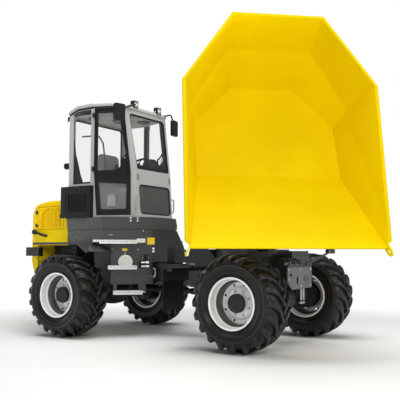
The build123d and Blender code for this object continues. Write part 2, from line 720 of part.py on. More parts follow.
def roof_fittings(roof):
    """Mirrors on arms from the roof's front corners, and work lamps on its front edge."""
    mirrors = []
    lamps = []
    for at, yaw in MIRRORS:
        sign = 1 if at[1] > 0 else -1
        root = (MIRROR_ROOT[0], sign * MIRROR_ROOT[1], MIRROR_ROOT[2])
        mirrors.append(mirror_unit(at, yaw, root) - roof)
    for sign in (-1, 1):
        x, y, z = LAMP_AT
        lamp = Pos(x, sign * y, z) * Box(*LAMP_SIZE)
        foot = box(x - 90, x, sign * (y - 15), sign * (y + 15), z - 50, z - 15)
        lamps.append((fillet(lamp.edges().filter_by(Axis.X), 14) + foot) - roof)
    node("mirrors", mirrors)
    node("work_lights", lamps)


def grab_handle(sign):
    """Bent handle on the front pillar, on the slanted side."""
    base, length = side_plane(CAB_B, CAB_A, sign)
    route = []
    for out, z in ((-1, GRAB_Z[0]), (GRAB_OUT, GRAB_Z[0]), (GRAB_OUT, GRAB_Z[1]), (-1, GRAB_Z[1])):
        spot = base.origin + base.x_dir * (length - GRAB_BACK) + base.z_dir * max(out, FIT)
        route.append((spot.X, spot.Y, z))
    return bent_tube(route, 25, 11)


def rear_lamp(sign):
    """Lamp box wrapped round the counterweight's rear corner."""
    shape = box(BODY_REAR_X - 50, BODY_REAR_X + 230, sign * (HOOD_HALF - 60), sign * (HOOD_HALF + 80), 1080, 1210)
    shape = fillet(shape.edges().filter_by(Axis.Z), 14)
    return shape - box(BODY_REAR_X, 0, -HOOD_HALF, HOOD_HALF, 1000, 1300)


# ---------------------------------------------------------------- front chassis
def front_frame():
    """Two side plates, cross members, the slew table and the coupling boss."""
    outlines = [(170, 720), (170, 1000), (230, 1190), (480, 1190), (600, RING_BOTTOM),
                (FRAME_FRONT, RING_BOTTOM), (FRAME_FRONT, 800), (FRAME_FRONT - 130, 700), (700, 700),
                (420, 640)]
    frame = None
    for sign in (-1, 1):
        plate = profile(outlines, sign * (SIDE_OUT - FRAME_PLATE), sign * SIDE_OUT)
        frame = plate if frame is None else frame + plate
    inner = SIDE_OUT - FRAME_PLATE + 1
    frame = frame + box(170, 215, -inner, inner, 720, 1000)
    frame = frame + box(FRAME_FRONT - 50, FRAME_FRONT, -inner, inner, 760, RING_BOTTOM + 1)
    frame = frame + box(FRAME_FRONT - 95, FRAME_FRONT, -240, 240, RING_BOTTOM, RING_TOP + 8)
    frame = frame + box(430, 480, -inner, inner, 700, 1180)
    table = box(540, 1470, -SIDE_OUT - 60, SIDE_OUT + 60, RING_BOTTOM - 25, RING_BOTTOM)
    well = rod((SWIVEL_X, 0, 900), (SWIVEL_X, 0, 1200), RING_INNER - 20)
    frame = frame + (table - well)
    boss = rod((0, 0, 748), (0, 0, 922), 95) + box(0, 190, -90, 90, 748, 922)
    frame = frame + boss - rod((0, 0, 700), (0, 0, 1000), PIVOT_RADIUS + FIT)
    for sign in (-1, 1):
        x, y = STEER_EYE
        for face in (STEER_EYE_HALF + 8, -STEER_EYE_HALF - 28):
            z = STEER_Z + face
            lug = box(x, 171, sign * (y - 32), sign * (y + 32), z, z + 20)
            frame = frame + lug + rod((x, sign * y, z), (x, sign * y, z + 20), 32)
    return frame


def towing_plate():
    """Plate across the front of the chassis, with a long hole and a square one."""
    back = FRAME_FRONT
    front = back + 16
    plate = section(TOW_PLATE, back, front)
    slot = box(back - 1, front + 1, -330, -290, 856, 884)
    for y in (-330, -290):
        slot = slot + rod((back - 1, y, 870), (front + 1, y, 870), 14)
    window = box(back - 1, front + 1, -150, -104, 757, 843)
    return plate - slot - window


def slewing_ring():
    return rod((SWIVEL_X, 0, RING_BOTTOM), (SWIVEL_X, 0, RING_TOP), RING_OUTER, RING_INNER)


def front_guard(sign):
    """Front mudguard: a slanted plate with a rear fold, on an arm from the chassis."""
    plate = profile([(436, 800), (436, 935), (452, 953), (820, 975), (820, 966), (456, 944),
                     (446, 930), (446, 800)], sign * GUARD_SPAN[0], sign * GUARD_SPAN[1])
    arm = profile([(490, 912), (490, 948), (560, 952), (560, 912)], sign * SIDE_OUT,
                  sign * (GUARD_SPAN[1] - 30))
    return plate + arm


def flap(sign):
    """Rubber flap hanging under the mudguard's rear fold."""
    return box(437, 445, sign * FLAP_SPAN[0], sign * FLAP_SPAN[1], 450, 800)


# ---------------------------------------------------------------- swivel console
def swivel_console():
    """Turning table, side plates to the tip pins, and the cylinder's lugs."""
    x = SWIVEL_X
    z0 = RING_TOP + FIT
    table = rod((x, 0, z0), (x, 0, z0 + 25), RING_OUTER, RING_INNER - 10)
    table = table - box(x + 100, x + 600, -90, 90, z0 - 1, z0 + 26)
    unit = table
    for sign in (-1, 1):
        cheek = profile([(x - 460, z0 + 24), (x - 460, 1270), (x + 500, 1300), (x + TIP_PIN_R, 1300 + 60),
                         (x + TIP_PIN_R + 70, TIP_PIN_Z), (x + TIP_PIN_R, 1215), (x + 480, z0 + 24),
                         ], sign * CHEEK[0], sign * CHEEK[1])
        boss = across(x + TIP_PIN_R, TIP_PIN_Z, 58, sign * (CHEEK[0] - 10), sign * (CHEEK[1] + 10))
        unit = unit + cheek + boss
        drop = profile([(x - 310, 1200), (x + TIP_BASE_R - 60, TIP_BASE_Z), (x + TIP_BASE_R, TIP_BASE_Z - 60),
                        (x + TIP_BASE_R + 60, TIP_BASE_Z), (x - 150, 1200)], sign * 62, sign * 86)
        unit = unit + drop
        unit = unit + box(x - 340, x - 240, sign * 62, sign * CHEEK[1], 1178, 1208)
    unit = unit + box(x - 460, x - 340, -CHEEK[0] - 1, CHEEK[0] + 1, z0 + 24, 1240)
    unit = unit - across(x + TIP_PIN_R, TIP_PIN_Z, PIN_RADIUS + FIT, -400, 400)
    pin = across(x + TIP_BASE_R, TIP_BASE_Z, PIN_RADIUS, -86, 86)
    return unit + pin


# ---------------------------------------------------------------- skip
def skip_point(s, h):
    """A point of the lowered skip: distance ahead of the lip and height from it."""
    pin_s = -TIP_PIN_BEHIND_LIP
    pin_h = -FLOOR_DEPTH - TIP_PIN_UNDER_FLOOR
    return (SWIVEL_X + TIP_PIN_R + s - pin_s, TIP_PIN_Z + h - pin_h)


SPOUT_TOP = (0, 0, 0)            # corners of the inside faces: S, half width, H
SPOUT_END = (0, 864, 0)
FLOOR_FRONT = (-1087, 864, -FLOOR_DEPTH)
FLOOR_SIDE = (-1778, 864, -FLOOR_DEPTH)
FLOOR_REAR = (-2300, 394, -FLOOR_DEPTH)
SIDE_FRONT = (-75, 1060, 14)
SHOULDER = (SKIP_SHOULDER_S, 1060, SKIP_SHOULDER_H)
SIDE_FOLD = (-1850, 950, -300)
BACK_FOLD = (-2506, 511, -49)
BACK_TOP = (-2590, 505, 466)


def centred(corner):
    """The point on the skip's middle plane level with a corner."""
    return (corner[0], 0, corner[2])


SKIP_PLATES = (  # three points on the inside face of each plate, on the left half
    (SIDE_FRONT, SHOULDER, SIDE_FOLD),
    (FLOOR_FRONT, FLOOR_SIDE, SIDE_FOLD),
    (SHOULDER, BACK_TOP, BACK_FOLD),
    (FLOOR_SIDE, FLOOR_REAR, BACK_FOLD),
    (BACK_TOP, centred(BACK_TOP), BACK_FOLD),
    (BACK_FOLD, centred(BACK_FOLD), FLOOR_REAR),
    (SPOUT_TOP, SPOUT_END, FLOOR_FRONT),
    (centred(FLOOR_FRONT), FLOOR_FRONT, FLOOR_SIDE),
)
SKIP_CORE = (-1400, 0, -200)      # a point well inside the skip


def skip_vector(s, y, h):
    x, z = skip_point(s, h)
    return Vector(x, y, z)


def cut_beyond(solid, a, b, c, grow):
    """Cut away what lies beyond the plate through a, b, c, moved out by grow."""
    normal = (b - a).cross(c - a).normalized()
    if normal.dot(skip_vector(*SKIP_CORE) - a) > 0:
        normal = -normal
    base = Plane(origin=a + normal * grow, z_dir=normal)
    return solid - base * Pos(0, 0, 4000) * Box(8000, 8000, 8000)


def skip_form(grow):
    """The skip's inside as a closed form, or the same form grown by its wall."""
    middle = skip_vector(*SKIP_CORE)
    solid = Pos(*middle) * Box(5000, 4000, 3000)
    for corners in SKIP_PLATES:
        for sign in (1, -1):
            a, b, c = [skip_vector(s, y * sign, h) for s, y, h in corners]
            solid = cut_beyond(solid, a, b, c, grow)
    return solid


def rim_plane(raise_by=0):
    """Plane of the rim, X forward along it, Z up out of the skip."""
    slope = math.atan2(SKIP_BACK_RISE, SKIP_LENGTH)
    x, z = skip_point(0, 0)
    up = Vector(math.sin(slope), 0, math.cos(slope))
    along = Vector(math.cos(slope), 0, -math.sin(slope))
    return Plane(origin=Vector(x, 0, z) + up * raise_by, x_dir=along, z_dir=up)


def skip_bar():
    """The deep bar round the rim, still filled across the opening."""
    slope = math.cos(math.atan2(SKIP_BACK_RISE, SKIP_LENGTH))
    half = [(0, LIP_WIDTH / 2), (-75 / slope, SKIP_WIDTH / 2),
            (SKIP_SHOULDER_S / slope, SKIP_WIDTH / 2), (-SKIP_LENGTH / slope, SKIP_BACK_WIDTH / 2)]
    return slab(rim_plane(), mirrored_plan(list(reversed(half))), -RIM_BAR, 0)


def skip_shell():
    """Folded skip: flat plates, with a bar round the rim."""
    inside = skip_form(0)
    plates = skip_form(SKIP_WALL) - inside
    above = rim_plane() * Pos(0, 0, 2000) * Box(9000, 9000, 4000)
    return (plates - above) + (skip_bar() - inside)


def lashing_eye(sign):
    """Upright plate with a round eye, welded to the corner of the lip."""
    x, z = skip_point(*LASHING_AT)
    run, splay = LASHING_SPLAY
    along = Vector(run, splay * sign, 0)
    face = Plane(origin=(x, sign * LASHING_Y, z), x_dir=along, z_dir=Vector(along.Y, -along.X, 0))
    flat = Circle(LASHING_EYE) + Pos(-60, 0) * Rectangle(120, 2 * LASHING_EYE)
    flat = flat - Circle(LASHING_BORE)
    eye = extrude(face.offset(-LASHING_PLATE / 2) * flat, amount=LASHING_PLATE, dir=face.z_dir)
    return eye - skip_form(SKIP_WALL) - skip_bar()


def skip_underframe():
    """Two long lugs under the skip with the tip pin, and the cylinder ears."""
    pin_x = SWIVEL_X + TIP_PIN_R
    floor_x, floor_z = skip_point(FLOOR_FRONT[0], -FLOOR_DEPTH)
    back_x, back_z = skip_point(-1760, -FLOOR_DEPTH)
    outer = skip_form(SKIP_WALL)
    frame = None
    for sign in (-1, 1):
        lug = profile([(back_x, floor_z + 60), (back_x, floor_z - 45), (floor_x - 100, floor_z - 60),
                       (pin_x - 120, TIP_PIN_Z - 58), (pin_x, TIP_PIN_Z - 66), (pin_x + 62, TIP_PIN_Z),
                       (pin_x + 60, floor_z + 480), (floor_x, floor_z + 60)],
                      sign * LUG[0], sign * LUG[1])
        frame = lug if frame is None else frame + lug
        ear = profile([(pin_x + EYE_R - 250, floor_z + 60), (pin_x + EYE_R - 60, TIP_PIN_Z + EYE_Z),
                       (pin_x + EYE_R, TIP_PIN_Z + EYE_Z - 50), (pin_x + EYE_R + 60, TIP_PIN_Z + EYE_Z),
                       (pin_x + EYE_R + 150, floor_z + 500)], sign * EYE_EARS[0], sign * EYE_EARS[1])
        stub = across(pin_x + EYE_R, TIP_PIN_Z + EYE_Z, 24, sign * 34, sign * EYE_EARS[1])
        frame = frame + ear + stub
    for x0 in (back_x, floor_x - 160):
        frame = frame + box(x0, x0 + 70, -LUG[1], LUG[1], floor_z - 42, floor_z + 60)
    frame = frame - outer
    pin = across(pin_x, TIP_PIN_Z, PIN_RADIUS, -LUG[1] - 14, LUG[1] + 14)
    return frame + pin


def tip_cylinder():
    """Barrel and rod in their lowered line, then turned to the tipped one."""
    base = Vector(SWIVEL_X + TIP_BASE_R, 0, TIP_BASE_Z)
    turn = math.radians(TIP_NOW)
    ex = EYE_R * math.cos(turn) + EYE_Z * math.sin(turn)
    ez = -EYE_R * math.sin(turn) + EYE_Z * math.cos(turn)
    eye = Vector(SWIVEL_X + TIP_PIN_R + ex, 0, TIP_PIN_Z + ez)
    shut = Vector(SWIVEL_X + TIP_PIN_R + EYE_R, 0, TIP_PIN_Z + EYE_Z)
    return cylinder(base, eye, (shut - base).length, 52, 28, 32, PIN_RADIUS, 30)


def cylinder(base, eye, shut, barrel_radius, rod_radius, eye_radius, pin_radius, half_width):
    """Hydraulic cylinder from its base pin to its rod eye; shut is its closed length."""
    line = eye - base
    length = line.length
    way = line.normalized()
    flat = abs(way.Z) < 0.01
    pin_axis = Vector(0, 0, 1) if flat else Vector(0, 1, 0)
    mouth = shut - eye_radius - 40
    start = base + way * (eye_radius + 14)
    tube = rod(tuple(start), tuple(base + way * mouth), barrel_radius, rod_radius + FIT)
    bore = rod(tuple(start + way * 24), tuple(base + way * (mouth - 40)), barrel_radius - 10)
    tube = tube - bore
    plug = rod(tuple(start), tuple(start + way * 20), barrel_radius)
    collar = rod(tuple(base + way * (mouth - 46)), tuple(base + way * mouth), barrel_radius + 7,
                 barrel_radius - 2)
    end = rod(tuple(base - pin_axis * half_width), tuple(base + pin_axis * half_width), eye_radius + 22)
    hole = rod(tuple(base - pin_axis * 300), tuple(base + pin_axis * 300), pin_radius + FIT)
    barrel = (tube + plug + collar + end) - hole
    inner = length - (mouth - 70)
    ram = rod(tuple(eye - way * inner), tuple(eye - way * (eye_radius - 6)), rod_radius)
    tip = rod(tuple(eye - pin_axis * half_width), tuple(eye + pin_axis * half_width), eye_radius + 10)
    tip_hole = rod(tuple(eye - pin_axis * 300), tuple(eye + pin_axis * 300), pin_radius)
    return barrel, (ram + tip) - tip_hole


def steer_cylinder(sign):
    base = Vector(STEER_BASE[0], sign * STEER_BASE[1], STEER_Z)
    eye = Vector(STEER_EYE[0], sign * STEER_EYE[1], STEER_Z)
    lock = math.radians(STEER_LOCK)
    x = STEER_EYE[0] * math.cos(lock) - STEER_EYE[1] * math.sin(lock)
    y = STEER_EYE[0] * math.sin(lock) + STEER_EYE[1] * math.cos(lock)
    shut = math.hypot(x - STEER_BASE[0], y - STEER_BASE[1])
    return cylinder(base, eye, shut + 20, 34, 18, 14, STEER_PIN, STEER_EYE_HALF)


# ---------------------------------------------------------------- standing pose
def tipped(shape):
    """Turn the lowered skip about its pin to its tipped place."""
    axis = Axis((SWIVEL_X + TIP_PIN_R, 0, TIP_PIN_Z), (0, 1, 0))
    return shape.rotate(axis, TIP_NOW)


def swivelled(shape):
    """Turn what rides on the slewing ring to its standing heading."""
    return shape.rotate(Axis((SWIVEL_X, 0, 0), (0, 0, 1)), SWIVEL_NOW)


def assemble():
    wheels()
    node("rear_axle", axle(REAR_X, BEAM_INNER - 10, FRAME_HALF + 10))
    node("front_axle", axle(FRONT_X, SIDE_OUT - FRAME_PLATE - 30, SIDE_OUT + 30))
    node("rear_frame", rear_frame())
    node("articulation_pin", articulation_pin())
    node("engine_block", engine())
    node("tail_counterweight", tail())
    node("engine_hood", hood())
    node("rear_fenders", fender(-1), fender(1))
    node("side_tanks", lower_body(-1), lower_body(1))
    node("body_crossmember", crossmember())
    node("rear_lamps", rear_lamp(-1), rear_lamp(1))
    node("grab_handles", grab_handle(-1), grab_handle(1))
    node("cab_deck", cab_deck())
    node("access_steps", steps(-1), steps(1))
    cab_parts()
    for side, sign in SIDES:
        leaf, panes = cab_door(sign)
        node(f"cab_door_{side}", leaf)
        node(f"door_glass_{side}", *panes)
        node(f"service_door_{side}", service_door(sign))
        barrel, ram = steer_cylinder(sign)
        node(f"steer_barrel_{side}", barrel)
        node(f"steer_rod_{side}", ram)
    node("intake_boxes", filter_box(-1), filter_box(1))
    seat()
    console()
    node("front_frame", front_frame())
    node("towing_plate", towing_plate())
    node("slewing_ring", slewing_ring())
    node("front_mudguards", front_guard(-1), front_guard(1))
    node("mud_flaps", flap(-1), flap(1))
    node("swivel_console", swivelled(swivel_console()))
    barrel, ram = tip_cylinder()
    node("tip_barrel", swivelled(barrel))
    node("tip_rod", swivelled(ram))
    node("skip_shell", swivelled(tipped(skip_shell())))
    node("skip_underframe", swivelled(tipped(skip_underframe())))
    node("lashing_eyes", [swivelled(tipped(lashing_eye(sign))) for sign in (-1, 1)])


assemble()
os.makedirs("parts", exist_ok=True)
to_floor_middle = Pos(-FLOOR_MIDDLE[0], -FLOOR_MIDDLE[1], 0)
for name, solids in NODES.items():
    placed = [to_floor_middle * solid for solid in solids]
    export_step(Compound(children=placed), os.path.join("parts", f"{name}.step"))
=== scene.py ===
import json
import math

import bmesh
import bpy
from mathutils import Matrix, Vector


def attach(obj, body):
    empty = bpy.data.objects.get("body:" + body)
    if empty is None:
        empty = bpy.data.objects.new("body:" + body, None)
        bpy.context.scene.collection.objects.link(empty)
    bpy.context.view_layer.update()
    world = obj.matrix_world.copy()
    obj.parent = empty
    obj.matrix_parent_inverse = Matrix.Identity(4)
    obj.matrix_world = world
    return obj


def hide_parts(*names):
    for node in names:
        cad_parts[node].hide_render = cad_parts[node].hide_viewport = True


# The looks of an articulated site dumper with a swivel-tip skip.  Metres; +X is
# forward, +Y the machine's left, +Z up.  PIVOT is the ground under the
# articulation pin, and places along the machine are given from there.
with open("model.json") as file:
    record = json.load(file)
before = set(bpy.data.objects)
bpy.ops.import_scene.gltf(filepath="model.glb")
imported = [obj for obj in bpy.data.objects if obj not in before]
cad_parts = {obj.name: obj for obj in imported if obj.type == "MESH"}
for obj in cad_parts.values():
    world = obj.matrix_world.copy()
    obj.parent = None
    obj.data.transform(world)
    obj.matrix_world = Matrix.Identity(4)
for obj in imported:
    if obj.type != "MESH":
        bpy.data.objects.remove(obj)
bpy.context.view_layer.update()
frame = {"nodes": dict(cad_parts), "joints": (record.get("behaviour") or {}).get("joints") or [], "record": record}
JOINTS = {joint["name"]: joint for joint in frame["joints"]}
PIVOT = Vector((*JOINTS["steering"]["pos_m"][:2], 0.0))
SIDES = (("right", -1), ("left", 1))
AHEAD = Vector((1, 0, 0))
UP = Vector((0, 0, 1))
DOWN = Vector((0, 0, -1))


def at(x, y, z):
    """A place given from the articulation pin, in the row frame."""
    return PIVOT + Vector((x, y, z))


# ------------------------------------------------------------ shader helpers
class Shader:
    """One node material, with short calls to add and link its nodes."""

    def __init__(self, name):
        self.material = bpy.data.materials.new(name)
        self.material.use_nodes = True
        self.tree = self.material.node_tree
        self.surface = self.tree.nodes["Principled BSDF"]
        self.space = self.add("ShaderNodeTexCoord").outputs["Object"]

    def add(self, kind, **settings):
        node = self.tree.nodes.new(kind)
        for key, value in settings.items():
            setattr(node, key, value)
        return node

    def link(self, source, target):
        self.tree.links.new(source, target)

    def noise(self, scale, detail=3.0, roughness=0.5, stretch=None):
        node = self.add("ShaderNodeTexNoise")
        node.inputs["Scale"].default_value = scale
        node.inputs["Detail"].default_value = detail
        node.inputs["Roughness"].default_value = roughness
        source = self.space
        if stretch:
            mapping = self.add("ShaderNodeMapping")
            mapping.inputs["Scale"].default_value = stretch
            self.link(self.space, mapping.inputs["Vector"])
            source = mapping.outputs["Vector"]
        self.link(source, node.inputs["Vector"])
        return node.outputs["Fac"]

    def ramp(self, source, low, high, start=0.3, end=0.7):
        """Colour ramp from low to high; each is a grey value or a colour."""
        node = self.add("ShaderNodeValToRGB")
        stops = node.color_ramp.elements
        for stop, place, value in ((stops[0], start, low), (stops[1], end, high)):
            stop.position = place
            stop.color = (*value, 1) if isinstance(value, tuple) else (value, value, value, 1)
        self.link(source, node.inputs["Fac"])
        return node.outputs["Color"]

    def mix(self, factor, a, b):
        """Mix two colours; each is a socket or a colour."""
        node = self.add("ShaderNodeMix", data_type="RGBA")
        self.link(factor, node.inputs["Factor"])
        for value, slot in ((a, node.inputs[6]), (b, node.inputs[7])):
            if isinstance(value, tuple):
                slot.default_value = (*value, 1)
            else:
                self.link(value, slot)
        return node.outputs[2]

    def bump(self, height, strength, distance, base=None):
        node = self.add("ShaderNodeBump")
        node.inputs["Strength"].default_value = strength
        node.inputs["Distance"].default_value = distance
        self.link(height, node.inputs["Height"])
        if base:
            self.link(base, node.inputs["Normal"])
        return node.outputs["Normal"]

    def soft_edges(self, radius):
        node = self.add("ShaderNodeBevel", samples=4)
        node.inputs["Radius"].default_value = radius
        return node.outputs["Normal"]

    def edge_wear_and_glint(self):
        """White along convex edges, from the geometry's pointiness: edge wear on paint, a painted highlight on
        rubber.
        """
        sharpness = 0.06
        geometry = self.add("ShaderNodeNewGeometry")
        return self.ramp(geometry.outputs["Pointiness"], 0.0, 1.0, 0.5 + sharpness * 0.4,
            0.5 + sharpness)

    def finish(self, colour, roughness, normal=None, **constants):
        sockets = self.surface.inputs
        if isinstance(colour, tuple):
            sockets["Base Color"].default_value = (*colour, 1)
        else:
            self.link(colour, sockets["Base Color"])
        if isinstance(roughness, float):
            sockets["Roughness"].default_value = roughness
        else:
            self.link(roughness, sockets["Roughness"])
        if normal:
            self.link(normal, sockets["Normal"])
        for key, value in constants.items():
            sockets[key.replace("_", " ")].default_value = value
        return self.material


def tint(colour, factor):
    """The colour made lighter or darker."""
    return tuple(min(1.0, value * factor) for value in colour)


# ------------------------------------------------------------ materials
YELLOW = (0.93, 0.575, 0.0)
SKIP_YELLOW = (0.835, 0.61, 0.0)      # greener, for the light it throws on itself
DARK_GREY = (0.034, 0.037, 0.041)
LIGHT_GREY = (0.38, 0.39, 0.4)
BLACK = (0.007, 0.007, 0.008)
SILVER = (0.9, 0.91, 0.92)
ORANGE_PEEL = 0.025      # strength of the bump in sprayed paint


def paint(name, colour, roughness=0.32, coat=0.35, edge=0.0025, wear=0.25, gloss=0.5):
    """Sprayed paint: orange peel, faint colour drift and slightly lighter edges."""
    s = Shader(name)
    drift = s.ramp(s.noise(1.3, 4.0), tint(colour, 0.93), tint(colour, 1.05))
    dust = s.ramp(s.noise(9.0, 6.0, 0.6), 0.0, 1.0, 0.45, 0.95)
    body = s.mix(dust, drift, tint(colour, 0.97))
    lifted = s.mix(s.edge_wear_and_glint(), body, tint(colour, 1.0 + wear))
    rough = s.ramp(s.noise(22.0, 5.0, 0.65), roughness * 0.85, roughness * 1.2)
    normal = s.bump(s.noise(420.0, 2.0), ORANGE_PEEL, 0.0006, s.soft_edges(edge))
    return s.finish(lifted, rough, normal, Coat_Weight=coat, Coat_Roughness=0.12,
        Specular_IOR_Level=gloss)


def cast(name, colour):
    """Painted casting: a coarse sand skin under a thin satin coat."""
    s = Shader(name)
    roughness = 0.55
    body = s.ramp(s.noise(14.0, 5.0, 0.6), tint(colour, 0.75), tint(colour, 1.3))
    rough = s.ramp(s.noise(60.0, 4.0), roughness * 0.85, roughness * 1.15)
    normal = s.bump(s.noise(260.0, 4.0, 0.7), 0.35, 0.0012, s.soft_edges(0.004))
    return s.finish(body, rough, normal)


def rubber(name, colour, roughness, shine=0.34, edge_glint=1.0):
    """Moulded rubber with a dull bloom, a fine grain and, if asked, paler lug edges: a painted highlight where
    light catches them.
    """
    s = Shader(name)
    bloom = s.ramp(s.noise(7.0, 6.0, 0.65), tint(colour, 0.8), tint(colour, 1.6), 0.35, 0.8)
    rough = s.ramp(s.noise(38.0, 4.0), roughness - 0.1, roughness + 0.1)
    normal = s.bump(s.noise(340.0, 3.0, 0.6), 0.14, 0.0008)
    # Painted highlight: paler convex edges where light catches the lugs.
    body = s.mix(s.edge_wear_and_glint(), bloom, tint(colour, edge_glint)) if edge_glint > 1.0 else bloom
    return s.finish(body, rough, normal, Specular_IOR_Level=shine)


def plastic(name, colour=BLACK, roughness=0.45, grain=900.0):
    """Moulded plastic with a leather-like grain."""
    s = Shader(name)
    body = s.ramp(s.noise(5.0, 3.0), tint(colour, 0.85), tint(colour, 1.25))
    cell = s.add("ShaderNodeTexVoronoi", feature="SMOOTH_F1")
    cell.inputs["Scale"].default_value = grain
    s.link(s.space, cell.inputs["Vector"])
    normal = s.bump(cell.outputs["Distance"], 0.22, 0.0005, s.soft_edges(0.0025))
    rough = s.ramp(s.noise(30.0), roughness * 0.9, roughness * 1.15)
    return s.finish(body, rough, normal, Specular_IOR_Level=0.3)


def metal(name, colour, roughness=0.25, brushed=None, edge=0.0015):
    """Bare metal, brushed along one axis if asked, with a few dull patches."""
    s = Shader(name)
    streaks = s.noise(90.0, 3.0, 0.6, brushed or (1, 1, 1))
    body = s.ramp(streaks, tint(colour, 0.85), tint(colour, 1.1))
    rough = s.ramp(s.noise(26.0, 4.0), roughness * 0.75, roughness * 1.35)
    normal = s.bump(streaks, 0.06, 0.0004, s.soft_edges(edge))
    return s.finish(body, rough, normal, Metallic=1.0)


def glass(name, colour=(0.34, 0.4, 0.38), cover=0.05):
    """Cab glass: mostly clear, pale green or smoked, with a clean reflection."""
    s = Shader(name)
    body = s.ramp(s.noise(1.1, 2.0), tint(colour, 0.95), tint(colour, 1.05))
    rough = s.ramp(s.noise(3.0), 0.015, 0.05)
    material = s.finish(body, rough, None, Alpha=cover, IOR=1.6)
    material.surface_render_method = "BLENDED"
    return material


def lens(name, colour):
    """Ribbed lens in front of a reflector."""
    s = Shader(name)
    wave = s.add("ShaderNodeTexWave", wave_type="BANDS", bands_direction="Y")
    wave.inputs["Scale"].default_value = 60.0
    s.link(s.space, wave.inputs["Vector"])
    body = s.ramp(wave.outputs["Fac"], tint(colour, 0.8), tint(colour, 1.1))
    normal = s.bump(wave.outputs["Fac"], 0.3, 0.0008)
    return s.finish(body, 0.12, normal, Coat_Weight=0.6)


def cloth(name, colour):
    """Woven seat cloth: two crossed thread waves, fuzz and a soft sheen."""
    s = Shader(name)
    threads = []
    for direction in ("X", "Z"):
        wave = s.add("ShaderNodeTexWave", wave_type="BANDS", bands_direction=direction)
        wave.inputs["Scale"].default_value = 260.0
        wave.inputs["Distortion"].default_value = 0.6
        s.link(s.space, wave.inputs["Vector"])
        threads.append(wave.outputs["Fac"])
    weave = s.add("ShaderNodeMath", operation="MULTIPLY")
    s.link(threads[0], weave.inputs[0])
    s.link(threads[1], weave.inputs[1])
    body = s.ramp(weave.outputs["Value"], tint(colour, 0.7), tint(colour, 1.25), 0.1, 0.8)
    normal = s.bump(weave.outputs["Value"], 0.5, 0.0009)
    return s.finish(body, 0.9, normal, Sheen_Weight=0.35, Sheen_Roughness=0.5)


MATERIALS = {
    "skip_yellow": paint("skip_paint", SKIP_YELLOW, roughness=0.42, coat=0.0, edge=0.006, gloss=0.04),
    "hood_yellow": paint("hood_paint", YELLOW, roughness=0.34, coat=0.02, edge=0.004, gloss=0.07),
    "chassis_black": paint("chassis_paint", (0.016, 0.016, 0.018), roughness=0.42, coat=0.15),
    "body_grey": paint("body_paint", DARK_GREY, roughness=0.34, coat=0.3, edge=0.004),
    "cab_grey": paint("cab_paint", LIGHT_GREY, roughness=0.34, coat=0.3),
    "roof_grey": paint("roof_paint", LIGHT_GREY, roughness=0.36, coat=0.3, edge=0.02),
    "door_dark": paint("door_paint", (0.009, 0.0095, 0.01), roughness=0.3, coat=0.1, gloss=0.35),
    "rim_grey": paint("rim_paint", SILVER, roughness=0.3, coat=0.4),
    "cast_dark": cast("cast_paint", (0.011, 0.011, 0.012)),
    "steel": metal("bright_steel", (0.55, 0.56, 0.57), 0.32),
    "chrome_rod": metal("hard_chrome", (0.86, 0.87, 0.88), 0.09, edge=0.0005),
    "step_metal": metal("step_aluminium", (0.8, 0.81, 0.82), 0.36, brushed=(1, 6, 30)),
    # Painted highlight on the lugs' edges, set by the last argument.
    "tyre_rubber": rubber("tyre_rubber", (0.0034, 0.0034, 0.0037), 0.38, shine=0.38, edge_glint=12.0),
    "flap_rubber": rubber("flap_rubber", (0.006, 0.006, 0.0065), 0.5),
    "black_plastic": plastic("moulded_plastic"),
    "seat_cloth": cloth("seat_cloth", (0.34, 0.345, 0.35)),
    "glazing": glass("cab_glazing"),
}
# Painted shade: a darker copy of the body grey for the side facets that turn back towards the tail, away from the
# light.
SHADED_BACK_GREY = paint("body_paint_back_shade", tint(DARK_GREY, 0.62), roughness=0.4, coat=0.0, edge=0.004,
    gloss=0.28)
# Painted light: a lighter copy of the body grey for the towing plate, which catches more light.
LIT_PLATE_GREY = paint("towing_plate_lit_paint", tint(DARK_GREY, 2.1), roughness=0.36, coat=0.3,
    edge=0.004)
# Painted shade in the rims' recessed wells; also the cab rail's own dark grey.
WELL_SHADE_AND_RAIL_GREY = paint("rim_well_shade_and_rail_paint", (0.06, 0.063, 0.065), roughness=0.45, coat=0.1)
WHITE = paint("label_white", (0.95, 0.95, 0.95), roughness=0.4, coat=0.2, wear=0.0)
DISC_SILVER = paint("wheel_disc_paint", SILVER, roughness=0.32, coat=0.3)
LABEL_YELLOW = paint("label_yellow", (0.9, 0.66, 0.02), roughness=0.4, coat=0.2, wear=0.0)
# Painted shade: a darker copy of the skip yellow for the skip's rolled rim.
SHADED_RIM_YELLOW = paint("skip_rim_shade_paint", tint(SKIP_YELLOW, 0.78), roughness=0.42, coat=0.0,
    edge=0.006, gloss=0.04)
GASKET = rubber("gasket_rubber", (0.012, 0.012, 0.013), 0.5)
LENS_CLEAR = lens("lamp_lens", (0.38, 0.4, 0.39))
LENS_RED = lens("rear_lens_red", (0.45, 0.01, 0.01))
MIRROR_FACE = metal("mirror_face", (0.85, 0.88, 0.9), 0.03)
ZINC = metal("zinc_steel", (0.72, 0.72, 0.7), 0.3)
DARK_PLASTIC = plastic("dark_trim", (0.008, 0.008, 0.0085), 0.38, 600.0)
GREY_LINING = plastic("roof_lining", (0.34, 0.345, 0.35), 0.6, 400.0)
# The cab's dark lining, and painted shade on the cab frame's inner faces.
LINING_AND_SHADE_PLASTIC = plastic("cab_lining_and_shade_dark", (0.03, 0.031, 0.033), 0.6, 500.0)
PALE_PLASTIC = plastic("pale_moulding", (0.7, 0.71, 0.71), 0.5, 500.0)
SMOKED = glass("smoked_glazing", (0.15, 0.155, 0.155), 0.5)
TINTED = glass("tinted_glazing", (0.42, 0.43, 0.43), 0.34)

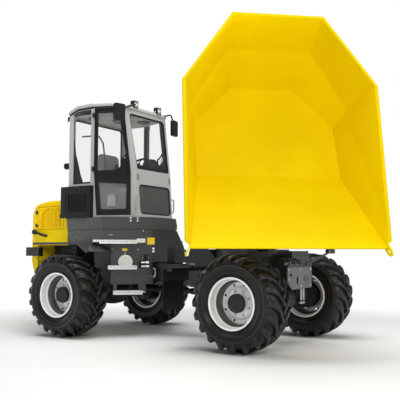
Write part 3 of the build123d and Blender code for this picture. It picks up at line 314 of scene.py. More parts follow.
# Finishes of modelled pieces that have a material of their own, with their slots.
TRIM = (DARK_PLASTIC, "black_plastic")
SEAL = (GASKET, "black_plastic")
FASTENER = (ZINC, "steel")
CLEAR = (LENS_CLEAR, "glazing")
RED = (LENS_RED, "glazing")


def dress(node, material):
    """Give a CAD node its finish."""
    slots = frame["nodes"][node].data.materials
    slots.clear()
    slots.append(material)


def shade_by_angle(mesh_object, degrees):
    """Smooth shading across shallow angles, sharp across the rest."""
    mesh = mesh_object.data
    mesh.shade_smooth()
    limit = math.radians(degrees)
    grid = bmesh.new()
    grid.from_mesh(mesh)
    for edge in grid.edges:
        if len(edge.link_faces) != 2 or edge.calc_face_angle(0.0) > limit:
            edge.smooth = False
    grid.to_mesh(mesh)
    grid.free()


SUBPARTS = {entry["node"]: entry["material_slot"] for entry in frame["record"]["subparts"]}
BODY_OF = {}
for body_name, members in frame["record"]["behaviour"]["bodies"].items():
    for member in members:
        BODY_OF[member] = body_name
for node_name, slot_name in SUBPARTS.items():
    dress(node_name, MATERIALS[slot_name])


# ------------------------------------------------------------ mesh helpers
def grids(count):
    """Empty bmeshes."""
    return [bmesh.new() for _ in range(count)]


def bare_object(name, grid):
    """An object in the scene from a bmesh, which is used up."""
    bmesh.ops.recalc_face_normals(grid, faces=grid.faces)
    mesh = bpy.data.meshes.new(name)
    grid.to_mesh(mesh)
    grid.free()
    piece = bpy.data.objects.new(name, mesh)
    bpy.context.scene.collection.objects.link(piece)
    return piece


def finish_piece(piece, body, material):
    """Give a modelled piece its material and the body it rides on."""
    piece.data.materials.append(material)
    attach(piece, body)


def from_bmesh(name, grid, body, finish, bevel=0.0, smooth=32):
    """An object from a bmesh, bevelled and shaded.

    The finish is a slot name, or a pair of material and slot name.
    """
    material, slot = (MATERIALS[finish], finish) if isinstance(finish, str) else finish
    piece = bare_object(name, grid)
    finish_piece(piece, body, material)
    shade_by_angle(piece, smooth)
    if bevel:
        modifier = piece.modifiers.new("edges", "BEVEL")
        modifier.width = bevel
        modifier.segments = 2
        modifier.limit_method = "ANGLE"
        modifier.angle_limit = math.radians(35)
        modifier.harden_normals = False
    return piece


def add_block(grid, centre, size, turn=None):
    """A box in a bmesh: centre, full sizes, and a 3x3 turn."""
    place = Matrix.Translation(centre) @ (turn.to_4x4() if turn else Matrix.Identity(4))
    scale = Matrix.Diagonal((*size, 1.0))
    return bmesh.ops.create_cube(grid, size=1.0, matrix=place @ scale)["verts"]


def facing(direction):
    """A turn whose Z axis is the direction."""
    z = Vector(direction).normalized()
    x = UP.cross(z)
    if x.length < 1e-4:
        x = AHEAD.cross(z)
    x.normalize()
    y = z.cross(x)
    return Matrix((x, y, z)).transposed()


def add_lathe(grid, centre, axis, outline, count=32):
    """A turned form: outline is (radius, height) pairs along the axis."""
    turn = facing(axis)
    rings = []
    for radius, height in outline:
        points = 1 if radius < 1e-6 else count
        angles = [2 * math.pi * index / count for index in range(points)]
        rings.append([grid.verts.new(centre + turn @ Vector((radius * math.cos(angle),
            radius * math.sin(angle), height))) for angle in angles])
    for low, high in zip(rings, rings[1:]):
        for index in range(count):
            after = (index + 1) % count
            corners = [low[0]] if len(low) == 1 else [low[index], low[after]]
            corners += [high[0]] if len(high) == 1 else [high[after], high[index]]
            if len(corners) > 2:
                grid.faces.new(corners)


def add_button(grid, centre, axis, size=0.008, head=0.005):
    """A round-headed bolt."""
    add_lathe(grid, centre, axis, [(0, 0), (size, 0), (size * 0.95, head * 0.5),
        (size * 0.6, head * 0.9), (size * 0.25, head), (size * 0.22, head * 0.6),
        (0, head * 0.6)], 14)


def add_tube(grid, points, radius, bend=None, sides=10):
    """A round tube along points, its corners rounded by short arcs."""
    route = rounded(points, bend) if bend else [Vector(p) for p in points]
    rings = []
    normal = None
    for index, spot in enumerate(route):
        before = route[max(index - 1, 0)]
        after = route[min(index + 1, len(route) - 1)]
        way = (after - before).normalized()
        if normal is None:
            normal = way.orthogonal().normalized()
        normal = (normal - way * normal.dot(way)).normalized()
        side = way.cross(normal)
        ring = []
        for step in range(sides):
            angle = 2 * math.pi * step / sides
            ring.append(grid.verts.new(spot + (normal * math.cos(angle) + side * math.sin(angle))
                * radius))
        rings.append(ring)
    add_sides(grid, rings)
    grid.faces.new(list(reversed(rings[0])))
    grid.faces.new(rings[-1])


def add_sides(grid, loops):
    """Quads between each closed loop of vertices and the next."""
    for low, high in zip(loops, loops[1:]):
        for index in range(len(low)):
            after = (index + 1) % len(low)
            grid.faces.new((low[index], low[after], high[after], high[index]))


def add_slab(grid, plan, low, high):
    """A level slab: a closed plan of (x, y) points between two heights."""
    rings = [[grid.verts.new(at(x, y, z)) for x, y in plan] for z in (low, high)]
    grid.faces.new(rings[0])
    grid.faces.new(list(reversed(rings[1])))
    add_sides(grid, rings)


def rounded(points, bend, steps=6):
    """Straight runs with an arc of the bend radius at each inner point."""
    points = [Vector(p) for p in points]
    route = [points[0]]
    for before, corner, after in zip(points, points[1:], points[2:]):
        into = (before - corner).normalized()
        out = (after - corner).normalized()
        half = into.angle(out) / 2
        cut = min(bend / math.tan(half), 0.48 * (before - corner).length,
            0.48 * (after - corner).length)
        start = corner + into * cut
        end = corner + out * cut
        for step in range(steps + 1):
            t = step / steps
            route.append(start.lerp(corner, t).lerp(corner.lerp(end, t), t))
    route.append(points[-1])
    return route


# ------------------------------------------------------------ wheels
TYRE_RADIUS = JOINTS["wheel_front_right_spin"]["pos_m"][2] - 0.0002      # just off the floor
TYRE_HALF = 0.25
TYRE_STEPS = 144     # round the carcass
REAR_TURN = 0.11     # the rear tyres' lugs stand at another angle than the front ones'
RIM_RADIUS = 0.298
LUGS = 20            # a side
LUG_RISE = 0.038


def carcass_radius(y):
    """Radius of the carcass between the lugs, at a distance across from the middle."""
    crown = TYRE_RADIUS - LUG_RISE
    t = min(abs(y) / TYRE_HALF, 1.0)
    return crown - 0.075 * t ** 2.8


def tyre_mesh():
    """Directional field tyre about Y: carcass, sidewalls with ribs, and curved lugs."""
    grid = bmesh.new()
    bead = RIM_RADIUS - 0.014
    lip = 0.2085
    half = TYRE_HALF - 0.006
    outline = [(bead + 0.001, lip - 0.03), (bead + 0.001, lip), (RIM_RADIUS + 0.01, lip + 0.002),
        (RIM_RADIUS + 0.018, lip + 0.014), (RIM_RADIUS + 0.026, lip + 0.015),
        (RIM_RADIUS + 0.034, lip + 0.01), (RIM_RADIUS + 0.046, lip + 0.02),
        (RIM_RADIUS + 0.062, lip + 0.028), (RIM_RADIUS + 0.065, lip + 0.033),
        (RIM_RADIUS + 0.073, lip + 0.034), (RIM_RADIUS + 0.078, lip + 0.031), (0.4, half),
        (0.424, half), (0.428, half + 0.004), (0.436, half + 0.004), (0.44, half),
        (0.456, half - 0.004), (0.47, half - 0.01)]
    shoulder = [(carcass_radius(y), y) for y in (0.226, 0.21, 0.19, 0.155, 0.11, 0.06, 0.0)]
    right = outline + shoulder
    points = [(r, -y) for r, y in right] + [(r, y) for r, y in reversed(right[:-1])]
    rings = []
    for radius, y in points:
        angles = [2 * math.pi * index / TYRE_STEPS for index in range(TYRE_STEPS)]
        rings.append([grid.verts.new((radius * math.cos(angle), y, radius * math.sin(angle)))
            for angle in angles])
    add_sides(grid, rings + rings[:1])
    for side in (-1, 1):
        for index in range(LUGS):
            start = 2 * math.pi * (index + (0.5 if side > 0 else 0.0)) / LUGS
            add_lug(grid, side, start)
    return grid


LUG_STATIONS = (      # across from the middle, drop below the tread radius, half width low, high
    (-0.020, 0.002, 0.026, 0.012),
    (-0.008, 0.000, 0.034, 0.020),
    (0.020, 0.000, 0.038, 0.024),
    (0.055, 0.001, 0.039, 0.025),
    (0.095, 0.003, 0.040, 0.026),
    (0.130, 0.008, 0.041, 0.027),
    (0.160, 0.015, 0.043, 0.029),
    (0.186, 0.024, 0.045, 0.031),
    (0.208, 0.036, 0.046, 0.032),
    (0.226, 0.051, 0.046, 0.031),
    (0.239, 0.069, 0.043, 0.028),
    (0.2465, 0.091, 0.037, 0.022),
    (0.2485, 0.112, 0.028, 0.014),
)


def lug_sweep(y):
    """Angle round the wheel that a lug has swept at a distance from the middle."""
    t = max(0.0, min(y / TYRE_HALF, 1.0))
    return 0.4 * (1 - (1 - t) ** 1.6) - 0.04 * t


LUG_FOOT = 0.03      # how deep a lug reaches into the tyre's side, past the shoulder


def add_lug(grid, side, start):
    """One curved lug with a crowned top, from mid tread to the shoulder and down its side."""
    rings = []
    for across, drop, low, high in LUG_STATIONS:
        angle = start + lug_sweep(across)
        top = TYRE_RADIUS - drop
        root = min(carcass_radius(across), top) - 0.012
        inward = 0.0
        if drop > LUG_FOOT:
            root = top - LUG_FOOT
            inward = LUG_FOOT
        shape = ((root, -low), (top - 0.01, -high * 1.22), (top - 0.003, -high * 1.0),
            (top, -high * 0.55), (top, high * 0.55), (top - 0.003, high * 1.0),
            (top - 0.01, high * 1.22), (root, low))
        ring = []
        for radius, half in shape:
            turn = angle + half / TYRE_RADIUS
            pulled = inward if radius == root else 0.0
            ring.append(grid.verts.new((radius * math.cos(turn), side * (across - pulled),
                radius * math.sin(turn))))
        rings.append(ring)
    add_sides(grid, rings)
    grid.faces.new(list(reversed(rings[0])))
    grid.faces.new(rings[-1])


CAP_FACE = 0.0785    # how far the hub cap's seat lies out from the wheel's middle
NUT_SEAT = 0.03
NUT_CIRCLE = 0.1375
NUTS = 8
VALVE_CIRCLE = 0.232


def around(centre, radius, degrees, out):
    """A place round a wheel's axle, moved outwards."""
    angle = math.radians(degrees)
    return centre + Vector((radius * math.cos(angle), 0, radius * math.sin(angle))) + out


def wheel_details(name, centre, sign, body):
    """Hub cap, nuts and valve on a rim's outer side."""
    out = Vector((0, sign, 0))
    face = centre + out * CAP_FACE
    cap = bmesh.new()
    add_lathe(cap, face, out, [(0, -0.002), (0.108, -0.002), (0.108, 0.03), (0.104, 0.04),
        (0.096, 0.0435), (0.07, 0.0435), (0.066, 0.04), (0.04, 0.04), (0.036, 0.0435),
        (0, 0.0435)], 48)
    for index in range(3):
        add_button(cap, around(face, 0.053, 90 + 120 * index, out * 0.04), out, 0.007, 0.004)
    from_bmesh(f"hub_cap_{name}", cap, body, "cast_dark", 0.0015)
    nuts = bmesh.new()
    for index in range(NUTS):
        spot = around(centre, NUT_CIRCLE, (index + 0.5) * 360 / NUTS, out * NUT_SEAT)
        add_lathe(nuts, spot, out, [(0, -0.02), (0.017, -0.02), (0.017, 0.003), (0.0155, 0.003),
            (0.0155, 0.003), (0, 0.003)], 20)
        add_lathe(nuts, spot, out, [(0, 0.003), (0.0145, 0.003), (0.0145, 0.017), (0.012, 0.02),
            (0, 0.02)], 6)
        add_lathe(nuts, spot, out, [(0, 0.02), (0.0075, 0.02), (0.0075, 0.028), (0.005, 0.03),
            (0, 0.03)], 12)
    from_bmesh(f"wheel_nuts_{name}", nuts, body, (ZINC, "rim_grey"), 0.0008)
    valve = bmesh.new()
    foot = around(centre, VALVE_CIRCLE, 62, out * 0.075)
    add_lathe(valve, foot, out, [(0, -0.01), (0.01, -0.01), (0.01, 0.006), (0.006, 0.01),
        (0.006, 0.04), (0.0075, 0.042), (0.0075, 0.056), (0, 0.058)], 12)
    from_bmesh(f"valve_{name}", valve, body, TRIM)


def build_wheels():
    grid = tyre_mesh()
    for end in ("front", "rear"):
        for side, sign in SIDES:
            joint = JOINTS[f"wheel_{end}_{side}_spin"]
            centre = Vector(joint["pos_m"])
            body = joint["child"]
            copy = grid.copy()
            turn = Matrix.Rotation(REAR_TURN if end == "rear" else 0.0, 4, "Y")
            bmesh.ops.transform(copy, matrix=Matrix.Translation(centre) @ turn, verts=copy.verts)
            tyre = from_bmesh(f"lugged_tyre_{end}_{side}", copy, body, "tyre_rubber", 0.0035, 40)
            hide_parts(f"tyre_{end}_{side}")
            wheel_details(f"{end}_{side}", centre, sign, body)
    grid.free()


build_wheels()


# ------------------------------------------------------------ faces that details lie on
HAIR = 0.0002        # how far a stuck-on film starts off its wall
SKIN = 0.0003        # the same for a thicker plate


class Wall:
    """A flat face: u runs along it, z is the height, w is how far out from it."""

    def __init__(self, start, end, flip=1, rise=(0, 0, 1)):
        self.start = at(*start)
        self.along = (at(*end) - self.start).normalized()
        self.rise = Vector(rise)
        self.out = self.along.cross(self.rise).normalized() * flip

    def spot(self, u, z, w=0.0):
        return self.start + self.along * u + self.rise * z + self.out * w

    def prism(self, grid, outline, low, high):
        """A flat outline of (u, z) points between two distances out."""
        rings = [[grid.verts.new(self.spot(u, z, w)) for u, z in outline] for w in (low, high)]
        grid.faces.new(list(reversed(rings[0])))
        grid.faces.new(rings[1])
        add_sides(grid, rings)

    def frame(self, grid, outer, inner, low, high):
        """A flat ring between two outlines with the same number of points."""
        loops = [[grid.verts.new(self.spot(u, z, w)) for u, z in outline]
            for outline, w in ((outer, low), (outer, high), (inner, high), (inner, low))]
        add_sides(grid, loops + loops[:1])

    def plate(self, grid, box, bend, low, high):
        """A rectangle (u0, u1, z0, z1) with round corners, between two distances out."""
        self.prism(grid, soft(rect(*box), bend), low, high)

    def border(self, grid, box, inset, bends, low, high):
        """A flat ring inside a rectangle, with an outer and an inner corner radius."""
        u0, u1, z0, z1 = box
        inner = rect(u0 + inset, u1 - inset, z0 + inset, z1 - inset)
        self.frame(grid, soft(rect(*box), bends[0]), soft(inner, bends[1]), low, high)

    def bolts(self, grid, places, size=0.008, head=0.005, w=0.0):
        for u, z in places:
            add_button(grid, self.spot(u, z, w), self.out, size, head)


def soft(points, radii, steps=5):
    """A closed outline with its corners rounded; one radius, or one for each corner."""
    if isinstance(radii, float):
        radii = (radii,) * len(points)
    spots = [Vector(point) for point in points]
    route = []
    for index, (corner, radius) in enumerate(zip(spots, radii)):
        before = spots[index - 1] - corner
        after = spots[(index + 1) % len(spots)] - corner
        half = before.angle(after) / 2
        cut = min(radius / math.tan(half), 0.48 * before.length, 0.48 * after.length)
        start = corner + before.normalized() * cut
        end = corner + after.normalized() * cut
        for step in range(steps + 1):
            t = step / steps
            spot = start.lerp(corner, t).lerp(corner.lerp(end, t), t)
            route.append((spot.x, spot.y))
    return route


def rect(u0, u1, z0, z1):
    """The corners of a rectangle."""
    return [(u0, z0), (u1, z0), (u1, z1), (u0, z1)]


def finish_pieces(body, pieces):
    """Turn rows of name, bmesh, finish and perhaps a bevel into objects on one body."""
    for row in pieces:
        from_bmesh(row[0], row[1], body, *row[2:])


def paint_faces(node, material, chosen):
    """Give the chosen faces of a CAD node a second finish."""
    mesh = frame["nodes"][node].data
    mesh.materials.append(material)
    for face in mesh.polygons:
        if chosen(face):
            face.material_index = len(mesh.materials) - 1


REAR = "rear_chassis"
FRONT = "front_chassis"
SCREEN_RISE = (-0.1606, 0, 1)
NOSE_RISE = (-0.0899, 0, 1)
SCREEN = Wall((-0.2742, 0, 0), (-0.2742, 1, 0), 1, SCREEN_RISE)
NOSE = Wall((-0.4362, 0, 0), (-0.4362, 1, 0), 1, NOSE_RISE)
CAB_BACK = Wall((-1.715, 0, 0), (-1.715, -1, 0))
HOOD_BACK = Wall((-2.55, 0, 0), (-2.55, -1, 0))
TOW_FACE = Wall((1.671, 0, 0), (1.671, 1, 0))


def side_wall(sign, start, end):
    """A wall on one side of the machine, from its rear corner to its front one."""
    return Wall((start[0], sign * start[1], 0), (end[0], sign * end[1], 0), -sign)


def door_wall(sign):
    return side_wall(sign, (-1.26, 0.63), (-0.58, 0.387))


def flank_wall(sign):
    return side_wall(sign, (-0.95, 0.74), (-0.4, 0.25))


def hood_wall(sign):
    return side_wall(sign, (-1.86, 0.52), (-0.86, 0.52))


# ------------------------------------------------------------ cab glass and its borders
GLASS_FACE = (-0.0116, -0.0106)      # a film on the panes, which lie 12 mm into their walls


def build_borders():
    """Printed black borders on the fixed glass, and the seal under the roof."""
    grid = bmesh.new()
    SCREEN.frame(grid, soft([(-0.372, 2.302), (0.372, 2.302), (0.413, 3.105), (-0.413, 3.105)],
        (0.014, 0.014, 0.06, 0.06)),
        soft([(-0.35, 2.352), (0.335, 2.352), (0.375, 3.078), (-0.395, 3.078)], 0.05), *GLASS_FACE)
    NOSE.frame(grid, soft(rect(-0.362, 0.362, 1.667, 2.088), 0.06),
        soft(rect(-0.338, 0.338, 1.69, 2.066), 0.045), *GLASS_FACE)
    CAB_BACK.frame(grid, soft(rect(-0.55, 0.55, 2.095, 3.09), 0.04),
        soft(rect(-0.515, 0.515, 2.15, 3.062), 0.05), *GLASS_FACE)
    outer = ((0.083, 3.135), (0.083, 2.77), (0.083, 2.546), (0.083, 2.395), (0.083, 2.248),
        (0.083, 2.11), (0.43, 2.11), (0.43, 3.17), (0.175, 3.17))
    inner = ((0.097, 3.12), (0.097, 2.77), (0.13, 2.546), (0.182, 2.395), (0.226, 2.248),
        (0.275, 2.135), (0.418, 2.135), (0.418, 3.155), (0.182, 3.155))
    for side, sign in SIDES:
        flat = side_wall(sign, (-1.715, 0.62), (-1.26, 0.63))
        flat.frame(grid, outer, inner, *GLASS_FACE)
        flat.prism(grid, [(0.004, 3.112), (0.175, 3.177), (0.455, 3.177), (0.455, 3.2045),
            (0.175, 3.2045), (0.004, 3.138)], HAIR, 0.005)
        door_wall(sign).prism(grid, [(0, 3.183), (0.276, 3.183), (0.5, 3.146), (0.5, 3.166),
            (0.276, 3.2045), (0, 3.2045)], HAIR, 0.005)
    finish_pieces(REAR, [("glass_borders", grid, SEAL)])


def build_door_trim(side, sign):
    """Gasket round the door's lower pane, its lock, and the document box behind the pane."""
    wall = door_wall(sign)
    body = f"cab_door_{side}"
    seal = bmesh.new()
    outer = [(0.13, 1.725), (0.531, 1.73), (0.534, 2.1), (0.092, 2.133)]
    inner = [(0.141, 1.736), (0.52, 1.741), (0.523, 2.089), (0.103, 2.121)]
    wall.frame(seal, soft(outer, 0.018), soft(inner, 0.012), GLASS_FACE[0], 0.0016)
    lock = bmesh.new()
    wall.plate(lock, (0.47, 0.522, 2.372, 2.474), 0.014, SKIN, 0.014)
    wall.plate(lock, (0.478, 0.514, 2.382, 2.44), 0.01, 0.013, 0.022)
    button = bmesh.new()
    add_lathe(button, wall.spot(0.496, 2.456, 0.013), wall.out,
        [(0, 0), (0.009, 0), (0.009, 0.006), (0.006, 0.008), (0, 0.008)], 20)
    pocket = bmesh.new()
    wall.prism(pocket, soft([(0.221, 1.787), (0.334, 1.787), (0.334, 1.925), (0.3, 1.958),
        (0.245, 1.958), (0.221, 1.925)], 0.012), -0.085, -0.045)
    wall.plate(pocket, (0.235, 0.32, 1.8, 1.905), 0.008, -0.046, -0.042)
    finish_pieces(body, [
        (f"door_seal_{side}", seal, SEAL),
        (f"door_lock_{side}", lock, TRIM, 0.002),
        (f"door_button_{side}", button, FASTENER),
        (f"door_pocket_{side}", pocket, (PALE_PLASTIC, "cab_grey"), 0.002),
    ])


def build_cab_outside():
    """Wiper, mirror faces, lamps on the roof and the rear pillars, and the corner vents."""
    wiper = bmesh.new()
    add_lathe(wiper, SCREEN.spot(0.125, 2.322, -0.011), SCREEN.out,
        [(0, 0), (0.024, 0), (0.022, 0.018), (0.012, 0.026), (0, 0.026)], 20)
    arm = [SCREEN.spot(u, z, w) for u, z, w in ((0.125, 2.322, 0.014), (0.17, 2.42, 0.02),
        (0.27, 2.6, 0.014))]
    add_tube(wiper, arm, 0.0055, 0.05)
    SCREEN.prism(wiper, [(0.15, 2.496), (0.16, 2.488), (0.386, 2.69), (0.378, 2.699)], 0.002,
        0.014)
    SCREEN.prism(wiper, [(0.154, 2.494), (0.157, 2.491), (0.383, 2.694), (0.38, 2.697)], -0.01,
        0.003)
    vents = bmesh.new()
    for middle in (-0.372, 0.372):
        for index in range(6):
            z = 2.148 + index * 0.0145
            slot = soft(rect(middle - 0.022, middle + 0.022, z, z + 0.007), 0.003, 2)
            NOSE.prism(vents, slot, HAIR, 0.0016)
    lamp_shells, lamp_faces, lamp_bowls, knobs = grids(4)
    for sign in (-1, 1):
        face = Wall((-0.759, sign * 0.275, 3.245), (-0.759, sign * 0.275 + 1, 3.245))
        face.border(lamp_shells, (-0.047, 0.047, -0.053, 0.053), 0.009, (0.01, 0.008), 0.0, 0.007)
        face.plate(lamp_faces, (-0.039, 0.039, -0.045, 0.045), 0.008, 0.0005, 0.003)
        for y in (-0.02, 0.02):
            add_lathe(lamp_bowls, face.spot(y, 0.0, 0.003), face.out,
                [(0, 0), (0.016, 0), (0.017, 0.002), (0.012, 0.0035), (0, 0.004)], 20)
        for way in (-1, 1):
            add_button(knobs, at(-0.79, sign * 0.275 + way * 0.048, 3.235), Vector((0, way, 0)),
                0.012, 0.008)
        back = at(-1.742, sign * 0.585, 2.39)
        way = Vector((-1, 0.15 * sign, 0))
        add_lathe(lamp_shells, back, way, [(0, -0.026), (0.02, -0.026), (0.022, 0.0),
            (0.044, 0.012), (0.047, 0.058), (0.047, 0.066), (0.041, 0.066), (0.041, 0.06),
            (0, 0.06)], 28)
        add_lathe(lamp_faces, back, way, [(0, 0.061), (0.04, 0.061), (0.03, 0.064), (0, 0.066)],
            28)
        add_block(lamp_shells, at(-1.738, sign * 0.6, 3.085), (0.045, 0.03, 0.06))
        add_tube(lamp_shells, [at(-1.715, sign * 0.6, 3.075), at(-1.755, sign * 0.61, 3.06),
            at(-1.762, sign * 0.612, 3.03)], 0.006, 0.02, 8)
    faces = bmesh.new()
    for place, yaw in (((-0.63, -0.79, 3.03), -12), ((-0.65, 0.52, 3.01), 12)):
        turn = Matrix.Rotation(math.radians(yaw), 3, "Z")
        aside = turn @ Vector((0, -1, 0))
        middle = at(*place) + turn @ Vector((-0.023, 0, 0))
        plate = Wall((0, 0, 0), (0, 1, 0))
        plate.start, plate.along, plate.out = middle, aside, turn @ Vector((-1, 0, 0))
        plate.plate(faces, (-0.07, 0.07, -0.103, 0.103), 0.018, HAIR, 0.0015)
        plate.border(lamp_shells, (-0.082, 0.082, -0.115, 0.115), 0.011, (0.025, 0.018), 0.0,
            0.006)
    finish_pieces(REAR, [
        ("wiper", wiper, TRIM),
        ("corner_vents", vents, SEAL),
        ("lamp_shells", lamp_shells, TRIM, 0.001),
        ("lamp_faces", lamp_faces, CLEAR),
        ("lamp_bowls", lamp_bowls, (WHITE, "glazing")),
        ("lamp_knobs", knobs, FASTENER),
        ("mirror_faces", faces, (MIRROR_FACE, "chrome_rod")),
    ])


def build_cab_inside():
    """Roof lining, rail, dash instruments, joystick, pedals and dark lower lining."""
    lining = bmesh.new()
    plan = [(-1.655, -0.56), (-1.27, -0.575), (-0.845, -0.425), (-0.845, 0.425), (-1.27, 0.575),
        (-1.655, 0.56)]
    add_slab(lining, soft(plan, 0.06), 3.1, 3.118)
    ovals = bmesh.new()
    for x, y, radius in ((-1.47, -0.38, 0.085), (-1.47, 0.38, 0.085), (-1.02, -0.24, 0.105),
            (-1.02, 0.24, 0.105), (-1.27, 0.0, 0.13)):
        add_lathe(ovals, at(x, y, 3.1), DOWN, [(0, -0.002), (radius, -0.002), (radius, 0.006),
            (radius * 0.86, 0.012), (radius * 0.8, 0.006), (0, 0.004)], 28)
    rail = bmesh.new()
    add_tube(rail, [at(-1.6, -0.47, 2.83), at(-1.3, -0.45, 2.82), at(-1.215, -0.45, 2.7),
        at(-1.17, -0.45, 2.43), at(-1.165, -0.44, 2.2)], 0.012, 0.08)
    dark = bmesh.new()
    for sign in (-1, 1):
        add_block(dark, at(-1.46, sign * 0.5, 1.8725), (0.32, 0.1, 0.455))
    add_block(dark, at(-1.615, 0.0, 1.87), (0.03, 1.02, 0.45))
    add_block(dark, at(-1.53, 0.43, 2.16), (0.24, 0.22, 0.24))
    add_block(dark, at(-1.15, 0.0, 1.648), (0.9, 0.8, 0.012))
    NOSE.plate(dark, (-0.33, 0.33, 1.665, 2.29), 0.03, -0.09, -0.075)
    side = [(-1.46, 2.02), (-1.06, 2.02), (-0.98, 2.1), (-1.0, 2.17), (-1.46, 2.19)]
    for sign in (-1, 1):
        box = side_wall(sign, (0.0, 0.4), (1.0, 0.4))
        box.prism(dark, soft(side, 0.03), -0.1, 0.0)
    dash = bmesh.new()
    SCREEN.prism(dash, soft([(-0.06, 2.315), (0.205, 2.315), (0.195, 2.47), (0.15, 2.505),
        (0.02, 2.5), (-0.05, 2.43)], 0.03), -0.15, -0.05)
    SCREEN.plate(dash, (0.225, 0.32, 2.315, 2.44), 0.02, -0.12, -0.06)
    add_tube(dash, [SCREEN.spot(0.255, 2.4, -0.09), SCREEN.spot(0.285, 2.5, -0.11),
        SCREEN.spot(0.3, 2.55, -0.11)], 0.012, 0.04)
    stick = bmesh.new()
    for sign, height in ((-1, 2.37), (1, 2.33)):
        add_lathe(stick, at(-1.06, sign * 0.35, 2.17), Vector((0.08, 0, 1)),
            [(0, -0.01), (0.035, -0.01), (0.03, 0.03), (0.01, 0.05), (0.01, height - 2.25),
            (0.022, height - 2.22), (0.026, height - 2.18), (0.02, height - 2.15),
            (0, height - 2.145)], 20)
    for y in (-0.14, 0.12):
        add_block(stick, at(-0.86, y, 1.74), (0.03, 0.075, 0.14), Matrix.Rotation(0.5, 3, "Y"))
    finish_pieces(REAR, [
        ("roof_lining", lining, (GREY_LINING, "roof_grey"), 0.004),
        ("lining_ovals", ovals, TRIM),
        ("cab_rail", rail, (WELL_SHADE_AND_RAIL_GREY, "body_grey")),
        ("cab_lining", dark, (LINING_AND_SHADE_PLASTIC, "black_plastic"), 0.006),
        ("instruments", dash, TRIM, 0.006),
        ("levers", stick, TRIM, 0.001),
    ])


# ------------------------------------------------------------ seat
def pad_form(grid, outline, y0, y1, crown):
    """A closed cushion form: a side outline of (x, z) points, narrower towards both ends."""
    stations = ((0.0, 0.72), (0.04, 0.88), (0.12, 0.97), (0.5, 1.0), (0.88, 0.97), (0.96, 0.88),
        (1.0, 0.72))
    middle = Vector((sum(x for x, z in outline) / len(outline),
        sum(z for x, z in outline) / len(outline)))
    rings = []
    for t, scale in stations:
        y = y0 + (y1 - y0) * t
        scale = 1 - (1 - scale) * crown
        ring = []
        for x, z in outline:
            spot = middle + (Vector((x, z)) - middle) * scale
            ring.append(grid.verts.new(at(spot.x, y, spot.y)))
        rings.append(ring)
    grid.faces.new(rings[0])
    grid.faces.new(list(reversed(rings[-1])))
    add_sides(grid, rings)


CLOTH_FRAMES = 20


def inflate(piece, cap):
    """Voxel remesh and a short cloth run under pressure, each point's travel capped."""
    remesh = piece.modifiers.new("even", "REMESH")
    remesh.mode = "VOXEL"
    remesh.voxel_size = 0.006
    fix_modifiers(piece)
    rest = [vertex.co.copy() for vertex in piece.data.vertices]
    cloth = piece.modifiers.new("stuffing", "CLOTH")
    cloth.settings.quality = 6
    cloth.settings.mass = 0.2
    cloth.settings.tension_stiffness = 25
    cloth.settings.compression_stiffness = 25
    cloth.settings.bending_stiffness = 2.0
    cloth.settings.use_pressure = True
    cloth.settings.uniform_pressure_force = 4.0
    cloth.settings.effector_weights.gravity = 0.0
    cloth.point_cache.frame_start = 1
    cloth.point_cache.frame_end = CLOTH_FRAMES
    for number in range(1, CLOTH_FRAMES + 1):
        bpy.context.scene.frame_set(number)
    fix_modifiers(piece)
    bpy.context.scene.frame_set(1)
    for vertex, start in zip(piece.data.vertices, rest):
        travel = vertex.co - start
        if travel.length > cap:
            vertex.co = start + travel.normalized() * cap


def fix_modifiers(piece):
    """Swap the mesh for its evaluated self and drop the modifiers."""
    graph = bpy.context.evaluated_depsgraph_get()
    solid = bpy.data.meshes.new_from_object(piece.evaluated_get(graph))
    piece.modifiers.clear()
    piece.data = solid


SEAM_DEPTH = 0.006
SEAM_WIDTH = 0.006
SIDE_SEAM_DEPTH = 0.008
SIDE_SEAM = 0.72     # where the side seams run, as a share of the pad's half width


def press_seams(piece, half, inward, seam_axis, seams):
    """Sewn channels: points near each seam sink in, on the pad's outer face only."""
    points = piece.data.vertices
    middle = sum((vertex.co for vertex in points), Vector()) / len(points)
    for vertex in points:
        place = vertex.co - PIVOT
        outward = -(vertex.co - middle).dot(inward)
        if outward < 0.01 or abs(place.y) > half * SIDE_SEAM:
            continue
        for level in seams:
            near = (place[seam_axis] - level) / SEAM_WIDTH
            vertex.co += inward * SEAM_DEPTH * math.exp(-near * near)
    for vertex in points:
        near = (abs(vertex.co.y - PIVOT.y) - half * SIDE_SEAM) / SEAM_WIDTH
        if -(vertex.co - middle).dot(inward) > 0.01:
            vertex.co += inward * SIDE_SEAM_DEPTH * math.exp(-near * near)


def build_seat():
    """Cloth-covered cushion and backrest in place of the CAD forms, with seams."""
    cushion = [(-1.51, 1.975), (-1.515, 2.04), (-1.4, 2.05), (-1.12, 2.068), (-1.082, 2.052),
        (-1.085, 1.975)]
    back = [(-1.52, 2.075), (-1.572, 2.49), (-1.556, 2.6), (-1.5, 2.622), (-1.468, 2.59),
        (-1.425, 2.3), (-1.412, 2.085)]
    pads = (      # name, side outline, half width, most travel, inward, seams: axis, places
        ("seat_cushion", cushion, 0.228, 0.01, DOWN, 0, (-1.4, -1.3, -1.2)),
        ("seat_back", back, 0.215, 0.012, -AHEAD, 2, (2.22, 2.34, 2.46)),
    )
    pieces = []
    for name, outline, half, cap, inward, seam_axis, seams in pads:
        grid = bmesh.new()
        pad_form(grid, outline, -half, half, 0.55)
        piece = bare_object(name, grid)
        inflate(piece, cap)
        press_seams(piece, half, inward, seam_axis, seams)
        smooth = piece.modifiers.new("soft", "SUBSURF")
        smooth.levels = 1
        smooth.render_levels = 1
        fix_modifiers(piece)
        piece.data.shade_smooth()
        finish_piece(piece, REAR, MATERIALS["seat_cloth"])
        pieces.append(piece)
    for piece in pieces:
        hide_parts("seat_cushions")


# ------------------------------------------------------------ hood, tail and intake
BAR = 0.0016         # half the width of a bar in the intake grille
BAR_PITCH = 0.0125


